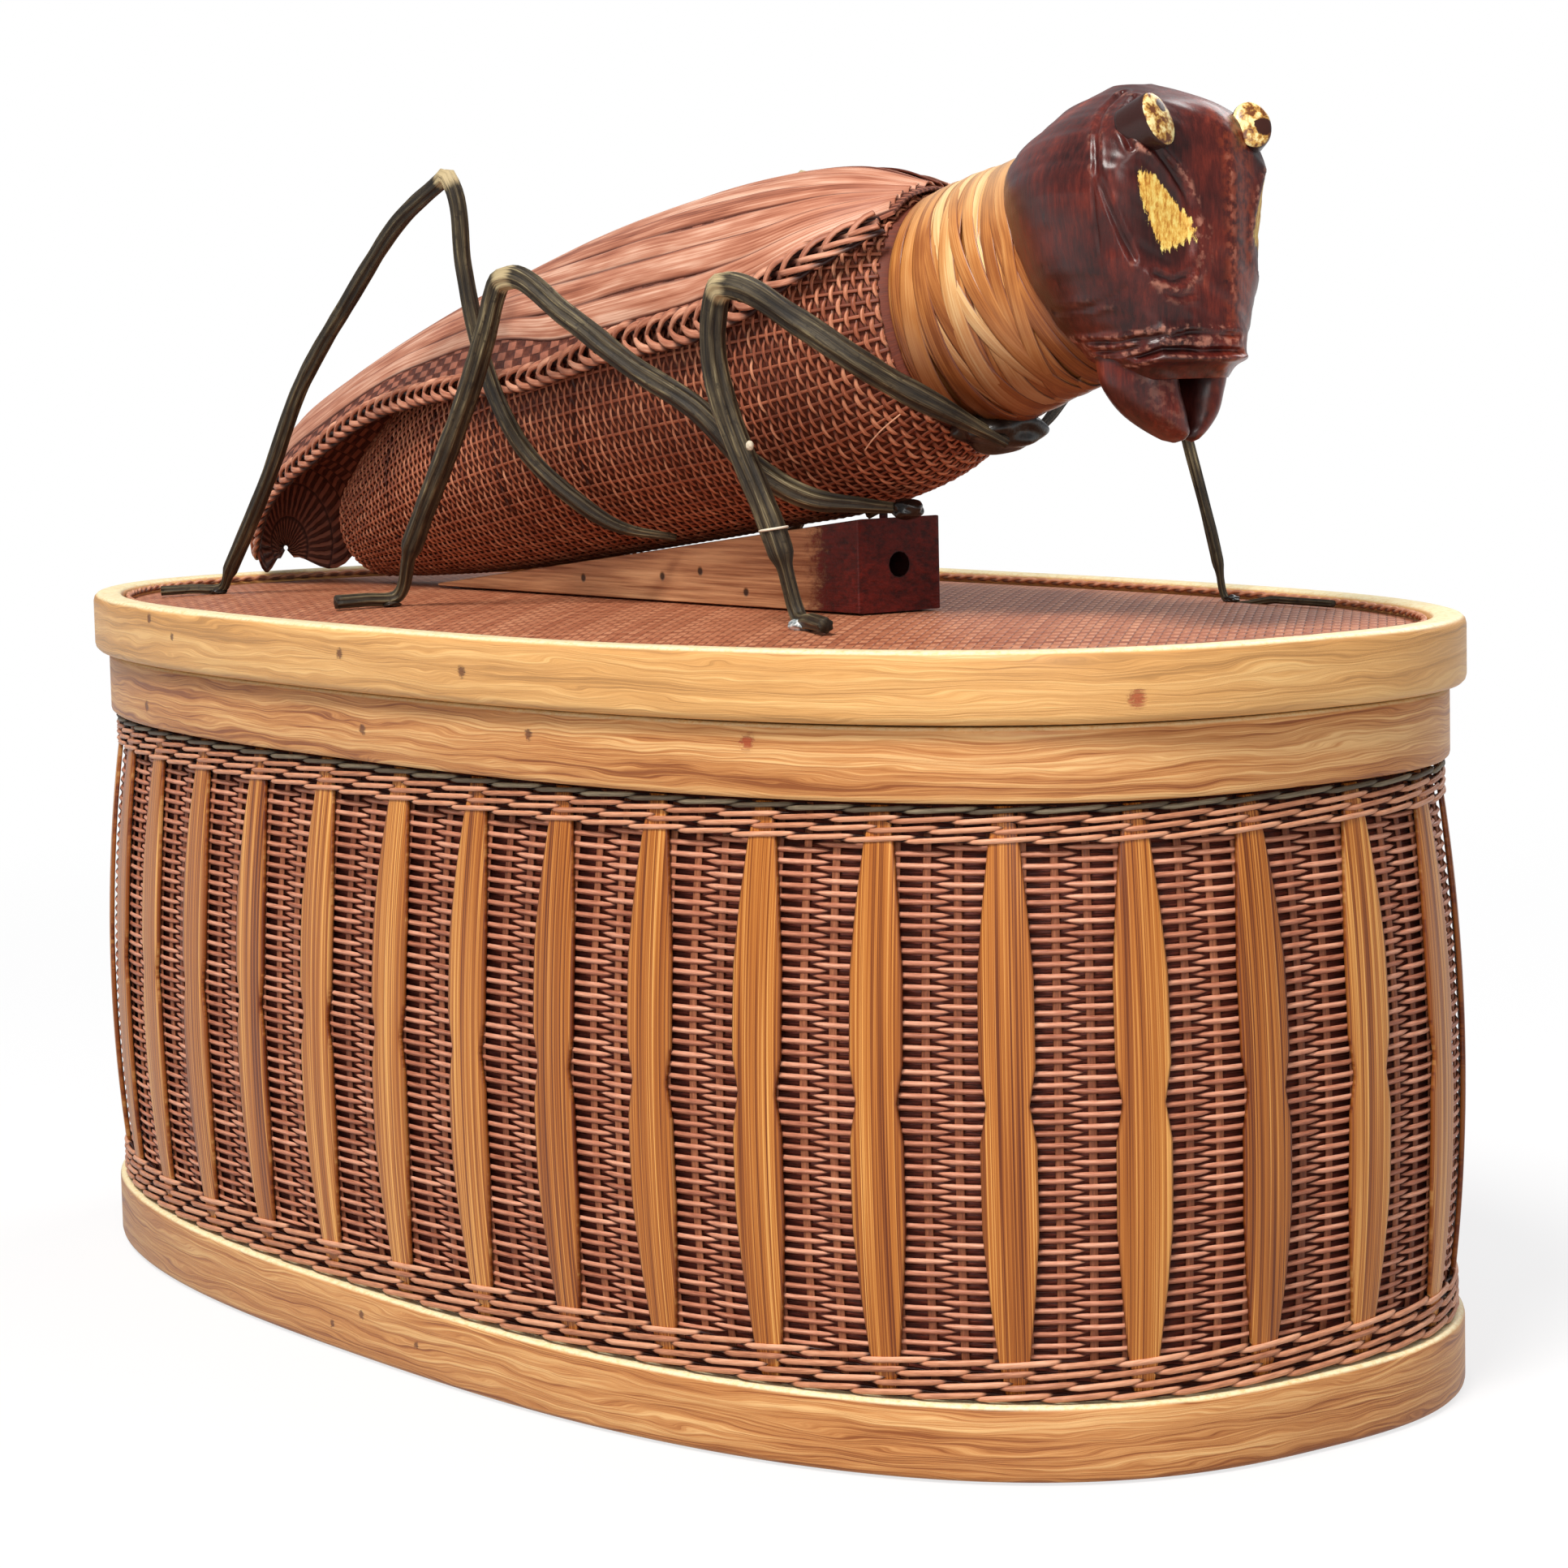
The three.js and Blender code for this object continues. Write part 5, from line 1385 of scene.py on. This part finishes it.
def shin_marks():
    """A pale thread round the near front shin, and a fleck of paint above it"""
    line = leg_lines["front_leg_right"]
    knee, ankle = line[-5], line[-4]
    way = (ankle - knee) / np.linalg.norm(ankle - knee)
    side = np.cross(way, [0, 0, 1.0])
    side = side / np.linalg.norm(side)
    front = np.cross(side, way)
    ring_middle = knee + (ankle - knee) * 0.87

    def place(k, u, v):
        turn = u * 2 * pi
        angle = v * 2 * pi
        out = 2.36 + 0.22 * np.cos(angle)
        p = (ring_middle[:, None] + side[:, None] * out * np.cos(turn) + front[:, None] * out * np.sin(turn)
             + way[:, None] * (0.22 * np.sin(angle) + 0.3 * np.sin(turn)))
        return (p[0], p[1], p[2]), {"u": u * 14, "v": v, "shade": 0.8, "dive": 0}
    thread = strand_finish(
        "shin_thread", (240, 232, 214), (222, 210, 188), (190, 176, 150), (150, 130, 100), 0.5)
    dress(strands("shin_thread", 1, 48, 8, place, closed=True), thread, "lid", "leg_stem")
    to_camera = np.array(camera_place) * 1000 - knee
    to_camera = to_camera - way * (to_camera @ way)
    fleck = knee + (ankle - knee) * 0.53 + to_camera / np.linalg.norm(to_camera) * 2.05
    dress(blob("shin_fleck", fleck, (0.75, 0.75, 0.95), 5, 0.1), thread, "lid", "leg_stem")


shin_marks()

# Block under the belly


def block_finish():
    look = Finish("block_wood", 0.42)
    x, y, z = look.axes("Object")
    grain = look.noise(x * 0.03, y * 0.5, z * 1.1, scale=1.3, detail=5, rough=0.65)
    band = look.noise(x * 0.02, y * 0.3, z * 0.25, detail=2)
    wood = look.ramp(
        grain * 0.6 + band * 0.4, (0.4, 146, 88, 54), (0.5, 192, 134, 92),
        (0.6, 222, 166, 118), (0.7, 240, 194, 148))
    ragged = look.noise(x * 0.5, y * 0.5, z * 0.9, detail=4, rough=0.7)
    stain = (x + (ragged - 0.5) * 14).between(39, 46)
    wood = look.mix(stain, wood, look.ramp(ragged, (0.35, 52, 8, 5), (0.65, 104, 24, 15)))
    dots = sum(spot(look, (x, y, z), (at, -9.1, level), 0.75) for at, level in (
        (8, 134.5), (-4, 133.2), (22, 131.2), (-30, 132), (30, 138.5)))
    # Painted shade: the inside of the hole through the block is painted near black
    hole = (y * y + (z - 136.8) * (z - 136.8)) ** 0.5
    bore_shade = hole.between(2.2, 2.5, 1, 0) * x.between(40, 44)
    pin = z.between(145.0, 145.6) * x.between(50, 50.5) * x.between(52.3, 52.8, 1, 0)
    # Nails, the painted shade in the hole, and the dark pin
    dark = (dots + bore_shade + pin).least(1)
    look.colour(look.mix(dark * 0.9, wood, (22, 10, 8)))
    look.roughness(grain * 0.25 + 0.3)
    look.bump(grain + ragged * stain - dots, 0.25, 0.5)
    return look


repaint(block_finish(), "mounting_block")

# Floor, backdrop and light


def pale_ground():
    shape = bmesh.new()
    bmesh.ops.create_circle(shape, cap_ends=True, segments=96, radius=6)
    mesh = bpy.data.meshes.new("floor")
    shape.to_mesh(mesh)
    shape.free()
    mesh.transform(Matrix.Translation((0, 0, -0.0004)))
    ground = bpy.data.objects.new("floor", mesh)
    scene.collection.objects.link(ground)
    look = Finish("pale_floor", 0.9)
    x, y, _ = look.axes("Object")
    seen = look.node("ShaderNodeLightPath", output="Is Camera Ray")
    look.colour(look.mix(seen, (0.4, 0.4, 0.4, 1), (0.86, 0.86, 0.87, 1)))
    glow = look.node("ShaderNodeEmission", values={"Color": (1, 1, 1, 1), "Strength": 1.0})
    far = ((x * x + y * y) ** 0.5).between(300, 800, 0.74, 1)
    shown = seen.most(look.node("ShaderNodeLightPath", output="Is Glossy Ray"))
    plain = Amount(look, look.shader.outputs[0])
    both = look.node("ShaderNodeMixShader", values=[shown * far, plain, glow])
    out = next(n for n in look.tree.nodes if n.type == "OUTPUT_MATERIAL")
    look.tree.links.new(both.socket, out.inputs["Surface"])
    mesh.materials.append(look.material)


pale_ground()


def pale_world():
    world = bpy.data.worlds.new("soft_sky")
    world.use_nodes = True
    scene.world = world
    nodes = world.node_tree.nodes
    links = world.node_tree.links
    fill = nodes["Background"]
    fill.inputs["Color"].default_value = (0.93, 0.96, 1, 1)
    fill.inputs["Strength"].default_value = 0.4
    white = nodes.new("ShaderNodeBackground")
    white.inputs["Color"].default_value = (1, 1, 1, 1)
    path = nodes.new("ShaderNodeLightPath")
    mix = nodes.new("ShaderNodeMixShader")
    links.new(path.outputs["Is Camera Ray"], mix.inputs[0])
    links.new(fill.outputs[0], mix.inputs[1])
    links.new(white.outputs[0], mix.inputs[2])
    links.new(mix.outputs[0], nodes["World Output"].inputs["Surface"])


pale_world()


def lamp(name, place, size, power, colour):
    data = bpy.data.lights.new(name, "AREA")
    data.shape = "DISK"
    data.size = size
    data.energy = power
    data.color = colour
    thing = bpy.data.objects.new(name, data)
    thing.location = place
    thing.rotation_euler = (Vector((0, 0, 0.1)) - Vector(place)).to_track_quat("-Z", "Y").to_euler()
    scene.collection.objects.link(thing)


lamp("main_lamp", (0.5, -0.85, 1.4), 0.5, 27, (1, 0.97, 0.93))
lamp("side_lamp", (1.3, -0.9, 0.6), 0.7, 6, (1, 0.98, 0.96))
lamp("back_lamp", (-0.4, 1.3, 1.1), 0.9, 8, (1, 1, 1))
scene.view_settings.view_transform = "Standard"
